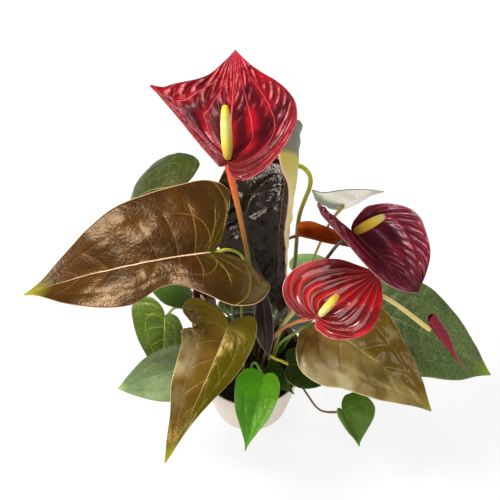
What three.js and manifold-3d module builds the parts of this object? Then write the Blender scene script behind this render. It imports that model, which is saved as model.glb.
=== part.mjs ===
// Potted flamingo flower, dark-leaved, in a 12 cm pot.
// Millimetres, +Z up, origin under the middle of the pot, front of the plant towards -Y.
import * as THREE from 'three';
import { mergeVertices } from 'three/addons/utils/BufferGeometryUtils.js';
import Module from 'manifold-3d';

// Pot and soil
const POT_HEIGHT = 97;
const POT_RIM_RADIUS = 60;
const POT_BASE_RADIUS = 46;
const POT_WALL = 1.8;
const POT_FLOOR = 3;
const POT_SIDES = 40;
const RIM_ROUND = 0.9;
const DRAIN_HOLES = 4;
const DRAIN_CIRCLE = 28;
const DRAIN_RADIUS = 4;
const POT_FOOT_ROUND = 1.5;
const INNER_FOOT = 2;
const SOIL_TOP = 88;
const SOIL_CROWN = 2.5;
const SOIL_ROUGHNESS = 0.8;
const LUMP_WIDTH = 5.2;
const HOLE_SIDES = 8;
const CLEARANCE = 0.3;
const STALK_DEPTH = 26;

// Blades: the midrib's ridge, the softness of the fold and the reach of curl and lobe (parts of the length),
// the sweep of the side veins, the waves of the margin, and the ribs that fan from the base to the tip
const BLADE_THICKNESS = 0.9;
const MIDRIB_DEPTH = 0.7;
const MIDRIB_WIDTH = 0.16;
const TIP_HALF_WIDTH = 0.5;
const FOLD_SOFTNESS = 1.8;
const CURL_REACH = 0.35;
const LOBE_REACH = 0.2;
const VEIN_SWEEP = 1.7;
const VEIN_ARCH = 0.1;
const SINUS_X = 0.35;
const SINUS_Y = 0.25;
const WAVE_COUNT = 1.5;
const WAVE_SHIFT = 0.3;
const RIB_START = 0.4;
const RIB_REACH = 0.3;
const RIB_FULLNESS = 0.6;

// Stalks and spadices
const PETIOLE_RADIUS = 1.4;
const PEDUNCLE_RADIUS = 2.2;
const STALK_SIDES = 6;
const STALK_RINGS = 3;
const ATTACH_FORWARD = 2.5;
const SPADIX_SIDES = 10;
const SPADIX_RINGS = 14;
const SPADIX_BLUNTNESS = 0.26;
const SPADIX_TAPER = 0.15;
const FLORET_RELIEF = 0.07;
const FLORET_SPIRALS = 5;
const FLORET_PITCH = 8 * Math.PI;

const radians = THREE.MathUtils.degToRad;
const vec = (p) => new THREE.Vector3(...p);

// A side outline in percent of the blade's length, from the end of the basal lobe to the tip:
// x outwards from the midrib, y forwards from the stalk.
function heart(width, widest = 12, lobe = 20, lobeX = 50, tipWidth = 12, tipLength = 30) {
  const inner = width * lobeX / 100;
  const bezier = (a, b, c, d, t) => (
    a * (1 - t) ** 3 + 3 * b * t * (1 - t) ** 2 + 3 * c * t * t * (1 - t) + d * t ** 3
  );
  const lobePart = [0, 0.35, 0.7, 1].map((t) => [
    bezier(inner, inner + 0.55 * (width - inner), width, width, t),
    bezier(-lobe, -lobe, widest - 0.6 * (widest + lobe), widest, t),
  ]);
  const tipPart = [0.3, 0.6, 0.85, 1].map((t) => [
    bezier(width, width, width * tipWidth / 100, 0, t),
    bezier(widest, widest + 0.4 * (100 - widest), 100 - tipLength, 100, t),
  ]);
  return [...lobePart, ...tipPart];
}

// Each leaf: where its stalk meets it, its tip, the way its upper face looks, the fold, curl and wave of
// its left and right halves, its droop, the ribs on each half, and the route of its stalk above the soil.
const LEAVES = {
  bronze_left: {
    at: [-37, 6, 280], tip: [-221, -4, 225], face: [0, -25, 100], droop: 28, wave: [2, 1.5], grid: [8, 14],
    left: [[14, -20], [21, -25], [29, -18], [29, -7], [22, 4], [15, 15], [14, 25], [20, 39], [19, 54],
      [13, 72], [3, 91], [0, 100]],
    right: [[13, -9], [30, -12], [38, -3], [38, 12], [35, 29], [30, 46], [21, 61], [11, 77], [4, 89],
      [0, 100]],
    stalk: { root: [-8, 17], via: [[-10, 24, 150], [-6, 25, 235], [-18, 13, 274]], color: '#8f9a3a' },
  },
  green_back_left: {
    at: [-77, 118, 248], tip: [-135, 130, 208], face: [-10, -10, 100], fold: [8, 8], droop: 50,
    left: heart(34, 15, 20),
    right: [[24, -20], [46, -24], [66, -8], [74, 18], [72, 44], [62, 68], [36, 90], [0, 100]],
    stalk: { root: [-16, 26], via: [[-24, 50, 150], [-48, 92, 215]], color: '#6d8a3a' },
  },
  olive_front_left: {
    at: [-22, -26, 205], tip: [-83, -135, 130], face: [-10, -45, 87], droop: 35, bow: -3, wave: [2, 2],
    grid: [8, 12],
    left: [[4, -5], [9, -11], [16, -9], [20, 2], [19, 16], [16, 30], [10, 46], [5, 62], [2, 78],
      [0, 100]],
    right: [[16, -8], [29, -6], [33, 1], [31, 13], [25, 22], [22, 36], [19, 50], [12, 66], [6, 85], [0, 100]],
    stalk: { root: [-8, -14], via: [[-7, -12, 150], [-12, -14, 196]], color: '#8a8c30' },
  },
  green_left: {
    at: [-93, 20, 150], tip: [-98, -29, 85], face: [-30, -40, 87], fold: [15, 15], bow: -3,
    left: heart(29, 21, 5, 40), right: heart(48, 0, 21),
    stalk: { root: [-26, 9], via: [[-44, 18, 140], [-78, 26, 157]], color: '#7c7a34' },
  },
  grey_low_left: {
    at: [-57, -45, 158], tip: [-143, -44, 105], face: [-10, -30, 87], droop: 28,
    left: heart(33, 5, 18, 50, 24, 19), right: heart(25, 26, 13, 39, 24, 19),
    stalk: { root: [-24, -10], via: [[-29, -18, 125], [-44, -36, 152]], color: '#6d8a3a' },
  },
  bright_front: {
    at: [13, -52, 150], tip: [-6, -105, 85], face: [0, -50, 87], fold: [15, 15], droop: 30,
    left: heart(22, 19, 6, 41), right: heart(30, 16, 6, 45),
    stalk: { root: [0, -22], via: [[1, -26, 125], [6, -38, 149]], color: '#6f9a2a' },
  },
  olive_front_right: {
    at: [71, -19, 195], tip: [184, -79, 125], face: [20, -28, 92], curl: [-10, -10], droop: 35, wave: [2, 2],
    grid: [8, 12],
    left: [[14, -14], [28, -8], [35, 8], [34, 27], [29, 44], [19, 62], [9, 80], [0, 100]],
    right: [[14, -10], [29, -4], [37, 7], [36, 21], [30, 33], [24, 52], [18, 64], [6, 86], [0, 100]],
    stalk: { root: [24, -10], via: [[31, -12, 145], [56, -16, 186]], color: '#7f9a3a' },
  },
  dark_right: {
    at: [129, 27, 155], tip: [259, -30, 110], face: [10, -15, 100], fold: [8, 8], curl: [-8, -8], droop: 30,
    wave: [1.5, 1.5], grid: [8, 12],
    left: [[14, -16], [24, -6], [32, 12], [36, 27], [33, 42], [24, 61], [14, 75], [5, 90], [0, 100]],
    right: [[16, -16], [32, -6], [42, 14], [40, 32], [32, 52], [21, 74], [8, 89], [0, 100]],
    stalk: { root: [33, 8], via: [[54, 16, 128], [106, 28, 146]], color: '#7f9a3a' },
  },
  small_low_right: {
    at: [97, -66, 100], tip: [115, -96, 75], face: [35, -30, 80], fold: [20, 50],
    left: heart(85, 35, 25, 30), right: heart(40, 15, 10, 40), grid: [6, 8],
    stalk: {
      root: [33, -20], via: [[46, -38, 124], [58, -54, 116], [74, -66, 99]], radius: 1.1, color: '#4a3f2a',
    },
  },
  dark_low_middle: {
    at: [40, -39, 150], tip: [100, -34, 120], face: [0, -30, 90],
    left: heart(25, 12, 8), right: heart(34, 25, 8, 40), grid: [6, 8],
    stalk: { root: [20, -17], via: [[20, -20, 132], [25, -33, 151]], color: '#b0b030' },
  },
  dark_by_rim: {
    at: [20, -31, 126], tip: [46, -52, 108], face: [0, -30, 90], droop: 20,
    left: heart(26), right: heart(30, 18), grid: [6, 8],
    stalk: { root: [9, -24], via: [[11, -26, 114]], color: '#6f8a2a' },
  },
  pale_back_right: {
    at: [58, 68, 160], tip: [108, 92, 145], face: [0, -20, 90], droop: 15,
    left: heart(42), right: heart(38), grid: [6, 8],
    stalk: { root: [24, 27], via: [[29, 42, 125], [44, 62, 152]], color: '#7f9a50' },
  },
  dark_hanging: {
    at: [34, 71, 321], tip: [35, 20, 150], face: [-20, -85, 50], fold: [36, 5], curl: [150, -10], bow: 3,
    ribs: 2, rib: 2, grid: [12, 14],
    left: [[16, -26], [28, -25], [27, -9], [20, 5], [18, 22], [16, 38], [12, 55], [8, 78], [0, 100]],
    right: heart(38, 34, 12, 50, 30, 26),
    stalk: {
      root: [34, 20], via: [[46, 56, 180], [48, 68, 255], [56, 67, 309], [46, 72, 325]], radius: 2.2,
      color: '#8a8a30',
    },
  },
  narrow_dark: {
    at: [12, -7, 215], tip: [19, -34, 150], face: [0, -80, 50], fold: [50, 50], curl: [10, 10], droop: 20,
    left: heart(16, 24, 12, 42), right: heart(20, 35, 9, 34),
    stalk: { root: [7, -6], via: [[12, -1, 150], [13, 1, 206]], color: '#5a4038' },
  },
  orange_young: {
    at: [48, 57, 246], tip: [112, 44, 237], face: [10, -30, 90], fold: [55, 55], curl: [20, 20], droop: 10,
    left: heart(24, 20, 4), right: heart(24, 20, 4),
    stalk: { root: [14, 17], via: [[16, 30, 160], [32, 52, 230]], color: '#7a4a2a' },
  },
  upper_right: {
    at: [86, 64, 280], tip: [126, 63, 300], face: [10, 85, 50], fold: [15, 32], droop: 10, lobeBend: -20,
    left: heart(47, 12, 40, 62),
    right: [[14, -58], [44, -66], [66, -44], [62, -14], [50, 10], [38, 35], [22, 65], [8, 88], [0, 100]],
    grid: [6, 8],
    stalk: { root: [27, 13], via: [[52, 40, 165], [76, 62, 245]], color: '#8f9a3a' },
  },
  green_under_bronze: {
    at: [-65, 29, 190], tip: [-125, 85, 160], face: [0, -10, 100],
    left: heart(34), right: heart(34), grid: [6, 8],
    stalk: { root: [-19, 17], via: [[-30, 20, 140], [-56, 25, 174]], color: '#a0a030' },
  },
  back_low: {
    at: [-26, 65, 126], tip: [50, 77, 103], face: [0, -90, 6], droop: 15,
    left: heart(38, 30, 9), right: heart(46, 40, 9), grid: [6, 8],
    stalk: { root: [-4, 32], via: [[-22, 43, 110], [-45, 61, 120]], color: '#6d8a3a' },
  },
  back_right: {
    at: [50, 61, 120], tip: [62, 67, 32], face: [0, -90, 6], fold: [2, 2], curl: [-12, -12], droop: 10,
    left: heart(36, 12, 22), right: heart(36, 12, 22), grid: [6, 8],
    stalk: { root: [14, 36], via: [[23, 50, 122], [39, 60, 145], [51, 68, 136]], color: '#6d8a3a' },
  },
};

// Each bloom: its spathe, written as a leaf is, the stalk below it and the spadix above it, which is sunk
// a little into the hollow of the spathe's base.
const BLOOMS = {
  crimson: {
    at: [-19, 16, 385], tip: [-14, 138, 405], face: [0, -25, 96], fold: [8, 30], curl: [0, 15], droop: -15,
    lobeBend: -8, ribs: 3, rib: 2.4, grid: [12, 14],
    left: [[5, -4], [19, 13], [36, 35], [51, 53], [57, 60], [48, 60], [41, 64], [20, 74], [8, 88], [0, 100]],
    right: [[16, -24], [30, -24], [44, -16], [56, 0], [56, 19], [48, 38], [37, 55], [24, 70], [12, 84],
      [0, 100]],
    stalk: { root: [4, 6], via: [[5, 3, 170], [0, 2, 250], [-9, 6, 325]], color: '#d2571e' },
    spadix: { along: [-4, 45, 89], length: 45, radius: 5, sunk: 1.8 },
  },
  purple: {
    at: [93, 23, 290], tip: [155, -21, 255], face: [10, -35, 95], fold: [20, 40], curl: [15, -10], droop: 0,
    lobeBend: -5, ribs: 3, rib: 1.8, grid: [12, 14],
    left: [[12, -6], [27, -7], [36, -3], [50, 10], [60, 27], [61, 42], [57, 53], [42, 77], [24, 90],
      [0, 100]],
    right: [[4, -50], [11, -49], [18, -38], [20, -20], [23, 2], [28, 22], [31, 42], [30, 62], [22, 80],
      [10, 93], [0, 100]],
    stalk: {
      root: [17, 5], via: [[26, 2, 165], [56, 5, 232], [80, 18, 274]], radius: 1.7, color: '#4a2a20',
    },
    spadix: { along: [78, 6, 66], length: 33, radius: 4.8, sunk: 1.9 },
  },
  scarlet: {
    at: [61, -40, 240], tip: [123, 8, 245], face: [0, -45, 90], curl: [15, -10], droop: 5,
    ribs: 4, rib: 2, grid: [16, 12],
    left: [[24, -19], [38, -20], [55, -15], [64, -5], [66, 12], [57, 38], [42, 62], [23, 80], [0, 100]],
    right: [[10, -9], [27, -3], [39, 11], [47, 28], [48, 46], [37, 68], [24, 83], [0, 100]],
    stalk: {
      root: [12, -11], via: [[17, -16, 140], [27, -29, 198], [43, -38, 230]], radius: 1.7,
      color: '#c06a40',
    },
    spadix: { along: [55, 40, 60], length: 28, radius: 4.1, sunk: 2 },
  },
  rolled: {
    at: [179, -18, 192], tip: [220, -46, 150], face: [55, 60, 30], fold: [20, 20], curl: [225, 225],
    droop: -8, lobeBend: -50, grid: [10, 12],
    left: heart(19, 4, 22, 88, 14, 55), right: heart(19, 4, 22, 88, 14, 55),
    stalk: { root: [25, 0], via: [[36, 6, 160], [84, 8, 231], [128, -8, 228]], color: '#d8c070' },
    spadix: { along: [60, -36, -50], length: 22, radius: 1.6, sunk: 0 },
  },
  small_purple: {
    at: [-46, 3, 200], tip: [-58, 16, 226], face: [20, -60, 40], fold: [30, 30], curl: [20, 20], droop: 10,
    left: heart(40, 12, 16), right: heart(40, 12, 16), grid: [6, 8],
    stalk: { root: [-16, 0], via: [[-22, 2, 140], [-40, 7, 186]], color: '#a8884a' },
    spadix: { along: [-15, -12, 80], length: 16, radius: 2, sunk: 1 },
  },
};

// The form of a blade where its own entry says nothing else.
const FORM = {
  fold: [12, 12], curl: [-15, -15], wave: [0, 0], droop: 25, lobeBend: 10, bow: 0, ribs: 0, rib: 0,
  grid: [6, 10],
};

// A point at t, 0 to 1, on a smooth line through the outline points, spaced by chord length.
function alongOutline(points, t) {
  const chords = points.slice(1).map((p, i) => Math.hypot(p[0] - points[i][0], p[1] - points[i][1]));
  let left = t * chords.reduce((sum, chord) => sum + chord, 0);
  let i = 0;
  while (i < chords.length - 1 && left > chords[i]) {
    left -= chords[i];
    i += 1;
  }
  const k = Math.min(left / chords[i], 1);
  const b = points[i];
  const c = points[i + 1];
  const a = points[i - 1] ?? [2 * b[0] - c[0], 2 * b[1] - c[1]];
  const d = points[i + 2] ?? [2 * c[0] - b[0], 2 * c[1] - b[1]];
  const mix = (n) => 0.5 * (2 * b[n] + (c[n] - a[n]) * k + (2 * a[n] - 5 * b[n] + 4 * c[n] - d[n]) * k ** 2
    + (3 * b[n] - a[n] - 3 * c[n] + d[n]) * k ** 3);
  return [mix(0), mix(1)];
}

// The blade as a surface: point(u, v) with u from -1 on the left margin to 1 on the right one,
// and v from 0 at the sinus to 1 at the tip. Lines of equal v run as the side veins do.
class Blade {
  constructor(spec) {
    Object.assign(this, FORM, spec);
    this.base = vec(spec.at);
    const chord = vec(spec.tip).sub(this.base);
    const droop = radians(this.droop);
    this.half = droop / 2;
    this.length = Math.abs(droop) > 1e-4 ? chord.length() * this.half / Math.sin(this.half) : chord.length();
    this.bend = droop / this.length;
    this.forward = chord.normalize();
    const face = vec(this.face);
    this.up = face.addScaledVector(this.forward, -face.dot(this.forward)).normalize();
    this.across = new THREE.Vector3().crossVectors(this.forward, this.up);
  }

  // Folds, curls and bends the flat point x, y (mm), then sets it in its place.
  shape(side, x, y, v, t) {
    const { length } = this;
    const reach = CURL_REACH * length;
    const fold = radians(this.fold[side]) * x / (x + FOLD_SOFTNESS);
    const curl = radians(this.curl[side]);
    let out = Math.cos(fold) * x;
    let rise = Math.sin(fold) * x;
    if (Math.abs(curl) > 1e-4) {
      out = reach / curl * (Math.sin(fold + curl * x / reach) - Math.sin(fold));
      rise = -reach / curl * (Math.cos(fold + curl * x / reach) - Math.cos(fold));
    }
    const ripple = Math.sin(2 * Math.PI * (WAVE_COUNT * v + WAVE_SHIFT * side));
    rise += this.wave[side] / 100 * length * t * t * ripple * Math.sqrt(Math.sin(Math.PI * v));
    const lane = t + (1 - Math.min(v / RIB_START, 1)) ** 2;
    const hollow = Math.abs(Math.sin(Math.PI * this.ribs * lane)) * Math.sin(Math.PI * t) ** RIB_FULLNESS;
    rise -= this.rib * hollow * (1 - v * v) * Math.min(Math.hypot(x, y) / (RIB_REACH * length), 1);
    const part = Math.min(Math.max(y / length, 0), 1);
    const sideways = (side ? out : -out) + 4 * this.bow / 100 * length * part * (1 - part);
    const bend = y >= 0 ? this.bend : radians(this.lobeBend) / (LOBE_REACH * length);
    const angle = bend * y;
    const flat = Math.abs(bend) < 1e-7;
    const ahead = (flat ? y : Math.sin(angle) / bend) + rise * Math.sin(angle);
    const lift = (flat ? 0 : (Math.cos(angle) - 1) / bend) + rise * Math.cos(angle);
    const cos = Math.cos(this.half);
    const sin = Math.sin(this.half);
    return this.base.clone().addScaledVector(this.across, sideways)
      .addScaledVector(this.forward, ahead * cos - lift * sin)
      .addScaledVector(this.up, ahead * sin + lift * cos);
  }

  point(u, v) {
    const { length } = this;
    const side = u > 0 ? 1 : 0;
    const t = Math.abs(u);
    const outline = side ? this.right : this.left;
    const [edgeX, edgeY] = alongOutline(outline, v).map((value) => value * length / 100);
    const ribY = length * v ** VEIN_SWEEP;
    const fade = (1 - v) ** 4;
    const span = Math.hypot(edgeX, edgeY - ribY);
    const [sinusX, sinusY] = outline[0].map((value) => value * fade * length / 100);
    const midX = edgeX / 2 - SINUS_X * sinusX;
    const midY = (edgeY + ribY) / 2 + SINUS_Y * sinusY - VEIN_ARCH * span * (1 - fade);
    const x = 2 * midX * t * (1 - t) + (edgeX + TIP_HALF_WIDTH) * t * t;
    const y = ribY * (1 - t) ** 2 + 2 * midY * t * (1 - t) + edgeY * t * t;
    return this.shape(side, Math.max(x, 0), y, v, t);
  }

  normal(u, v) {
    const step = 0.01;
    const alongU = this.point(Math.min(u + step, 1), v).sub(this.point(Math.max(u - step, -1), v));
    const alongV = this.point(u, Math.min(v + step, 1)).sub(this.point(u, Math.max(v - step, 0)));
    return alongU.cross(alongV).normalize();
  }

  // A thin closed solid with a ridge under the midrib.
  solid() {
    const [across, along] = this.grid;
    const geometry = new THREE.BoxGeometry(2, 1, 1, across, along, 1);
    const position = geometry.getAttribute('position');
    for (let i = 0; i < position.count; i += 1) {
      const u = position.getX(i);
      const v = position.getY(i) + 0.5;
      const ridge = MIDRIB_DEPTH * Math.exp(-((u / MIDRIB_WIDTH) ** 2)) * (1 - v);
      const offset = position.getZ(i) > 0 ? BLADE_THICKNESS / 2 : -BLADE_THICKNESS / 2 - ridge;
      const point = this.point(u, v).addScaledVector(this.normal(u, v), offset);
      position.setXYZ(i, point.x, point.y, point.z);
    }
    return geometry;
  }

  // Where a stalk (below) or a spadix (above) of this radius and direction ends, just clear of the blade.
  seat(direction, radius, above) {
    const cos = Math.cos(this.half);
    const sin = Math.sin(this.half);
    const tangent = this.forward.clone().multiplyScalar(cos).addScaledVector(this.up, sin);
    const normal = this.up.clone().multiplyScalar(cos).addScaledVector(this.forward, -sin);
    const lean = Math.sqrt(Math.max(1 - direction.dot(normal) ** 2, 0));
    const ridge = above ? 0 : MIDRIB_DEPTH;
    const away = BLADE_THICKNESS / 2 + ridge + CLEARANCE + radius * lean;
    return this.base.clone().addScaledVector(tangent, ATTACH_FORWARD)
      .addScaledVector(normal, above ? away : -away);
  }
}

// A stalk's line: straight up out of its hole, then smoothly through its way points to its seat.
class StalkLine extends THREE.Curve {
  constructor(spec, blade, radius) {
    super();
    const last = vec(spec.via[spec.via.length - 1]);
    const end = blade.seat(blade.base.clone().sub(last).normalize(), radius, false);
    this.bottom = vec([...spec.root, SOIL_TOP - STALK_DEPTH + 1]);
    this.points = [vec([...spec.root, SOIL_TOP + 2 * SOIL_CROWN]), ...spec.via.map(vec), end];
    this.steps = 1 + STALK_RINGS * (this.points.length - 1);
  }

  getPoint(t) {
    const { points, steps } = this;
    const place = t * steps;
    if (place < 1) return this.bottom.clone().lerp(points[0], place);
    const along = (place - 1) / STALK_RINGS;
    const i = Math.min(Math.floor(along), points.length - 2);
    const k = along - i;
    const b = points[i];
    const c = points[i + 1];
    const a = points[i - 1] ?? b.clone().multiplyScalar(2).sub(c);
    const d = points[i + 2] ?? c.clone().multiplyScalar(2).sub(b);
    return b.clone().multiplyScalar(2).addScaledVector(c.clone().sub(a), k)
      .addScaledVector(a.clone().multiplyScalar(2).addScaledVector(b, -5).addScaledVector(c, 4).sub(d), k * k)
      .addScaledVector(b.clone().multiplyScalar(3).sub(a).addScaledVector(c, -3).add(d), k ** 3)
      .multiplyScalar(0.5);
  }

  getPointAt(t) {
    return this.getPoint(t);
  }

  getTangentAt(t, target) {
    return this.getTangent(t, target);
  }
}

function stalkSolid(line, radius) {
  const corners = Array.from({ length: STALK_SIDES }, (unused, i) => {
    const angle = 2 * Math.PI * i / STALK_SIDES;
    return new THREE.Vector2(radius * Math.cos(angle), radius * Math.sin(angle));
  });
  const options = { steps: line.steps, extrudePath: line, bevelEnabled: false };
  return new THREE.ExtrudeGeometry(new THREE.Shape(corners), options);
}

// A spadix: a blunt rod covered with small raised florets.
function spadixSolid(spec, blade) {
  const direction = vec(spec.along).normalize();
  const base = blade.seat(direction, spec.radius, true).addScaledVector(blade.up, -spec.sunk);
  const turn = new THREE.Quaternion().setFromUnitVectors(new THREE.Vector3(0, 1, 0), direction);
  const geometry = new THREE.SphereGeometry(1, SPADIX_SIDES, SPADIX_RINGS);
  const position = geometry.getAttribute('position');
  for (let i = 0; i < position.count; i += 1) {
    const point = new THREE.Vector3().fromBufferAttribute(position, i);
    const height = Math.acos(THREE.MathUtils.clamp(-point.y, -1, 1)) / Math.PI;
    const angle = Math.atan2(point.z, point.x);
    const taper = Math.sin(Math.PI * height) ** SPADIX_BLUNTNESS * (1 - SPADIX_TAPER * height);
    const spiral = FLORET_SPIRALS * angle;
    const climb = FLORET_PITCH * height;
    const florets = 1 + FLORET_RELIEF * Math.sin(spiral + climb) * Math.sin(spiral - climb);
    const ring = Math.hypot(point.x, point.z) < 1e-6 ? 0 : spec.radius * taper * florets;
    point.set(ring * Math.cos(angle), height * spec.length, ring * Math.sin(angle));
    point.applyQuaternion(turn).add(base);
    position.setXYZ(i, point.x, point.y, point.z);
  }
  return geometry;
}

function lathe(profile, sides) {
  const points = profile.map(([x, y]) => new THREE.Vector2(x, y));
  return new THREE.LatheGeometry(points, sides).rotateX(Math.PI / 2);
}

// The pot's inner radius at a height.
function innerRadius(height) {
  const low = POT_FLOOR + INNER_FOOT;
  const part = (height - low) / (POT_HEIGHT - low);
  return THREE.MathUtils.lerp(POT_BASE_RADIUS, POT_RIM_RADIUS, part) - POT_WALL;
}

function potSolid() {
  return lathe([
    [0, 0],
    [POT_BASE_RADIUS - POT_FOOT_ROUND, 0],
    [POT_BASE_RADIUS, POT_FOOT_ROUND],
    [POT_RIM_RADIUS, POT_HEIGHT - RIM_ROUND],
    [POT_RIM_RADIUS - RIM_ROUND, POT_HEIGHT],
    [POT_RIM_RADIUS - POT_WALL, POT_HEIGHT - RIM_ROUND / 2],
    [innerRadius(POT_FLOOR + INNER_FOOT), POT_FLOOR + INNER_FOOT],
    [innerRadius(POT_FLOOR) - INNER_FOOT, POT_FLOOR],
    [0, POT_FLOOR],
  ], POT_SIDES);
}

function soilSolid() {
  const low = POT_FLOOR + CLEARANCE;
  const edge = innerRadius(SOIL_TOP) - CLEARANCE;
  const shoulder = low + INNER_FOOT;
  const profile = [[0, low], [innerRadius(low) - INNER_FOOT - 2 * CLEARANCE, low]];
  profile.push([innerRadius(shoulder) - 2 * CLEARANCE, shoulder]);
  for (const part of [1, 0.85, 0.6, 0.35, 0]) profile.push([edge * part, SOIL_TOP + SOIL_CROWN * (1 - part)]);
  const geometry = lathe(profile, POT_SIDES);
  const position = geometry.getAttribute('position');
  for (let i = 0; i < position.count; i += 1) {
    const x = position.getX(i);
    const y = position.getY(i);
    const z = position.getZ(i);
    if (z <= SOIL_TOP) continue;
    position.setZ(i, z + SOIL_ROUGHNESS * Math.sin(x / LUMP_WIDTH + 1.3) * Math.cos(y / LUMP_WIDTH));
  }
  return geometry;
}

const wasm = await Module();
wasm.setup();

function toManifold(geometry) {
  const bare = new THREE.BufferGeometry();
  bare.setAttribute('position', geometry.getAttribute('position'));
  if (geometry.index) bare.setIndex(geometry.index);
  const merged = mergeVertices(bare, 1e-3);
  return new wasm.Manifold(new wasm.Mesh({
    numProp: 3,
    vertProperties: Float32Array.from(merged.getAttribute('position').array),
    triVerts: Uint32Array.from(merged.index.array),
  }));
}

function toGeometry(solid) {
  const mesh = solid.getMesh();
  const geometry = new THREE.BufferGeometry();
  const positions = new Float32Array(mesh.numVert * 3);
  for (let i = 0; i < mesh.numVert; i += 1) {
    for (let n = 0; n < 3; n += 1) positions[3 * i + n] = mesh.vertProperties[mesh.numProp * i + n];
  }
  geometry.setAttribute('position', new THREE.BufferAttribute(positions, 3));
  geometry.setIndex(new THREE.BufferAttribute(Uint32Array.from(mesh.triVerts), 1));
  return geometry;
}

// A cutter for a hole of this radius measured to its flats.
function uprightCylinder(radius, x, y, low, high) {
  const corner = radius / Math.cos(Math.PI / HOLE_SIDES);
  const geometry = new THREE.CylinderGeometry(corner, corner, high - low, HOLE_SIDES);
  return geometry.rotateX(Math.PI / 2).translate(x, y, (low + high) / 2);
}

const part = new THREE.Group();
part.name = 'potted_flamingo_flower';

function addNode(name, geometry, color) {
  const mesh = new THREE.Mesh(geometry, new THREE.MeshStandardMaterial({ color, roughness: 0.5 }));
  mesh.name = name;
  part.add(mesh);
}

const COLORS = {
  pot: '#e2cfc4',
  soil: '#2c211b',
  bronze_left: '#70502c',
  green_back_left: '#46603a',
  olive_front_left: '#7a662a',
  green_left: '#3f7a24',
  grey_low_left: '#5f7d58',
  bright_front: '#2f8a14',
  olive_front_right: '#80702f',
  dark_right: '#4a5d48',
  small_low_right: '#3f8a30',
  dark_low_middle: '#1f4a1c',
  dark_by_rim: '#2a5a20',
  pale_back_right: '#5e8a62',
  dark_hanging: '#2e2a1e',
  narrow_dark: '#3a3238',
  orange_young: '#8a4a20',
  upper_right: '#9aa08c',
  green_under_bronze: '#2f6a20',
  back_low: '#2f5a28',
  back_right: '#2f5a28',
  crimson: '#8a1526',
  purple: '#5a1a30',
  scarlet: '#b81a2c',
  rolled: '#8a1230',
  small_purple: '#5c1430',
};
const SPADIX_COLOR = '#e8cf5a';

let pot = toManifold(potSolid());
for (let i = 0; i < DRAIN_HOLES; i += 1) {
  const angle = 2 * Math.PI * i / DRAIN_HOLES;
  const x = DRAIN_CIRCLE * Math.cos(angle);
  const y = DRAIN_CIRCLE * Math.sin(angle);
  pot = pot.subtract(toManifold(uprightCylinder(DRAIN_RADIUS, x, y, -1, POT_FLOOR + 1)));
}
addNode('pot', toGeometry(pot), COLORS.pot);

let soil = toManifold(soilSolid());
const stalks = [];
for (const [kind, specs, usualRadius, word] of [
  ['leaf', LEAVES, PETIOLE_RADIUS, 'petiole'],
  ['bloom', BLOOMS, PEDUNCLE_RADIUS, 'peduncle'],
]) {
  for (const [name, spec] of Object.entries(specs)) {
    const blade = new Blade(spec);
    addNode(`${kind}_${name}_${kind === 'leaf' ? 'blade' : 'spathe'}`, blade.solid(), COLORS[name]);
    const radius = spec.stalk.radius ?? usualRadius;
    const line = new StalkLine(spec.stalk, blade, radius);
    stalks.push([`${kind}_${name}_${word}`, line, radius, spec.stalk.color]);
    const [x, y] = spec.stalk.root;
    const hole = uprightCylinder(radius + CLEARANCE, x, y, SOIL_TOP - STALK_DEPTH, POT_HEIGHT);
    soil = soil.subtract(toManifold(hole));
    if (spec.spadix) addNode(`${kind}_${name}_spadix`, spadixSolid(spec.spadix, blade), SPADIX_COLOR);
  }
}
addNode('soil', toGeometry(soil), COLORS.soil);
for (const [name, line, radius, color] of stalks) addNode(name, stalkSolid(line, radius), color);

export default part;
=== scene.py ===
"""Potted flamingo flower with dark leaves, in a plain 12 cm pot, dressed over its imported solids.

Laid out as an add-on: settings for the parts that a user would change, one operator for each group of
like pieces and one for the studio, and a panel that lists them. Lengths in the plant's own tables are
in millimetres, the frame is in metres, +Z is up and the front of the plant faces -Y.
"""
import math
import random

import bmesh
import bpy
from mathutils import Matrix, Vector, noise


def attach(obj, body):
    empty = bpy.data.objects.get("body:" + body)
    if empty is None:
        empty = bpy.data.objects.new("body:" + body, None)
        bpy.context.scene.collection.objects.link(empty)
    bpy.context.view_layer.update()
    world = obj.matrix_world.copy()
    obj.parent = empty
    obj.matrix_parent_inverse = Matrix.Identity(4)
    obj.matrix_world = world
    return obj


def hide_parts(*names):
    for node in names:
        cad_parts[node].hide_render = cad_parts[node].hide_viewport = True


bl_info = {
    "name": "Potted flamingo flower",
    "version": (1, 0, 0),
    "blender": (4, 5, 0),
    "location": "3D View > Sidebar > Plant",
    "description": "Builds the leaves, blooms, soil and pot of a potted flamingo flower",
    "category": "Add Mesh",
}

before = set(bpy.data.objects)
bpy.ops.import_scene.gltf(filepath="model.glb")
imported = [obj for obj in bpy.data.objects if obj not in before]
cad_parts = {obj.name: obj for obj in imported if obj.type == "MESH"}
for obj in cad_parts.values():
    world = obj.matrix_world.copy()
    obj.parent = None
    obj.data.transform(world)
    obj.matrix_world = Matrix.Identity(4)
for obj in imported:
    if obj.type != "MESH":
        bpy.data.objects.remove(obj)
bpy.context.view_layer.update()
MM = 0.001

# Camera, at the angle of the photograph
CAMERA_PLACE = (-0.001, -0.386, 0.785)
CAMERA_PITCH = 38.0
CAMERA_LENS = 50.0

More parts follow.
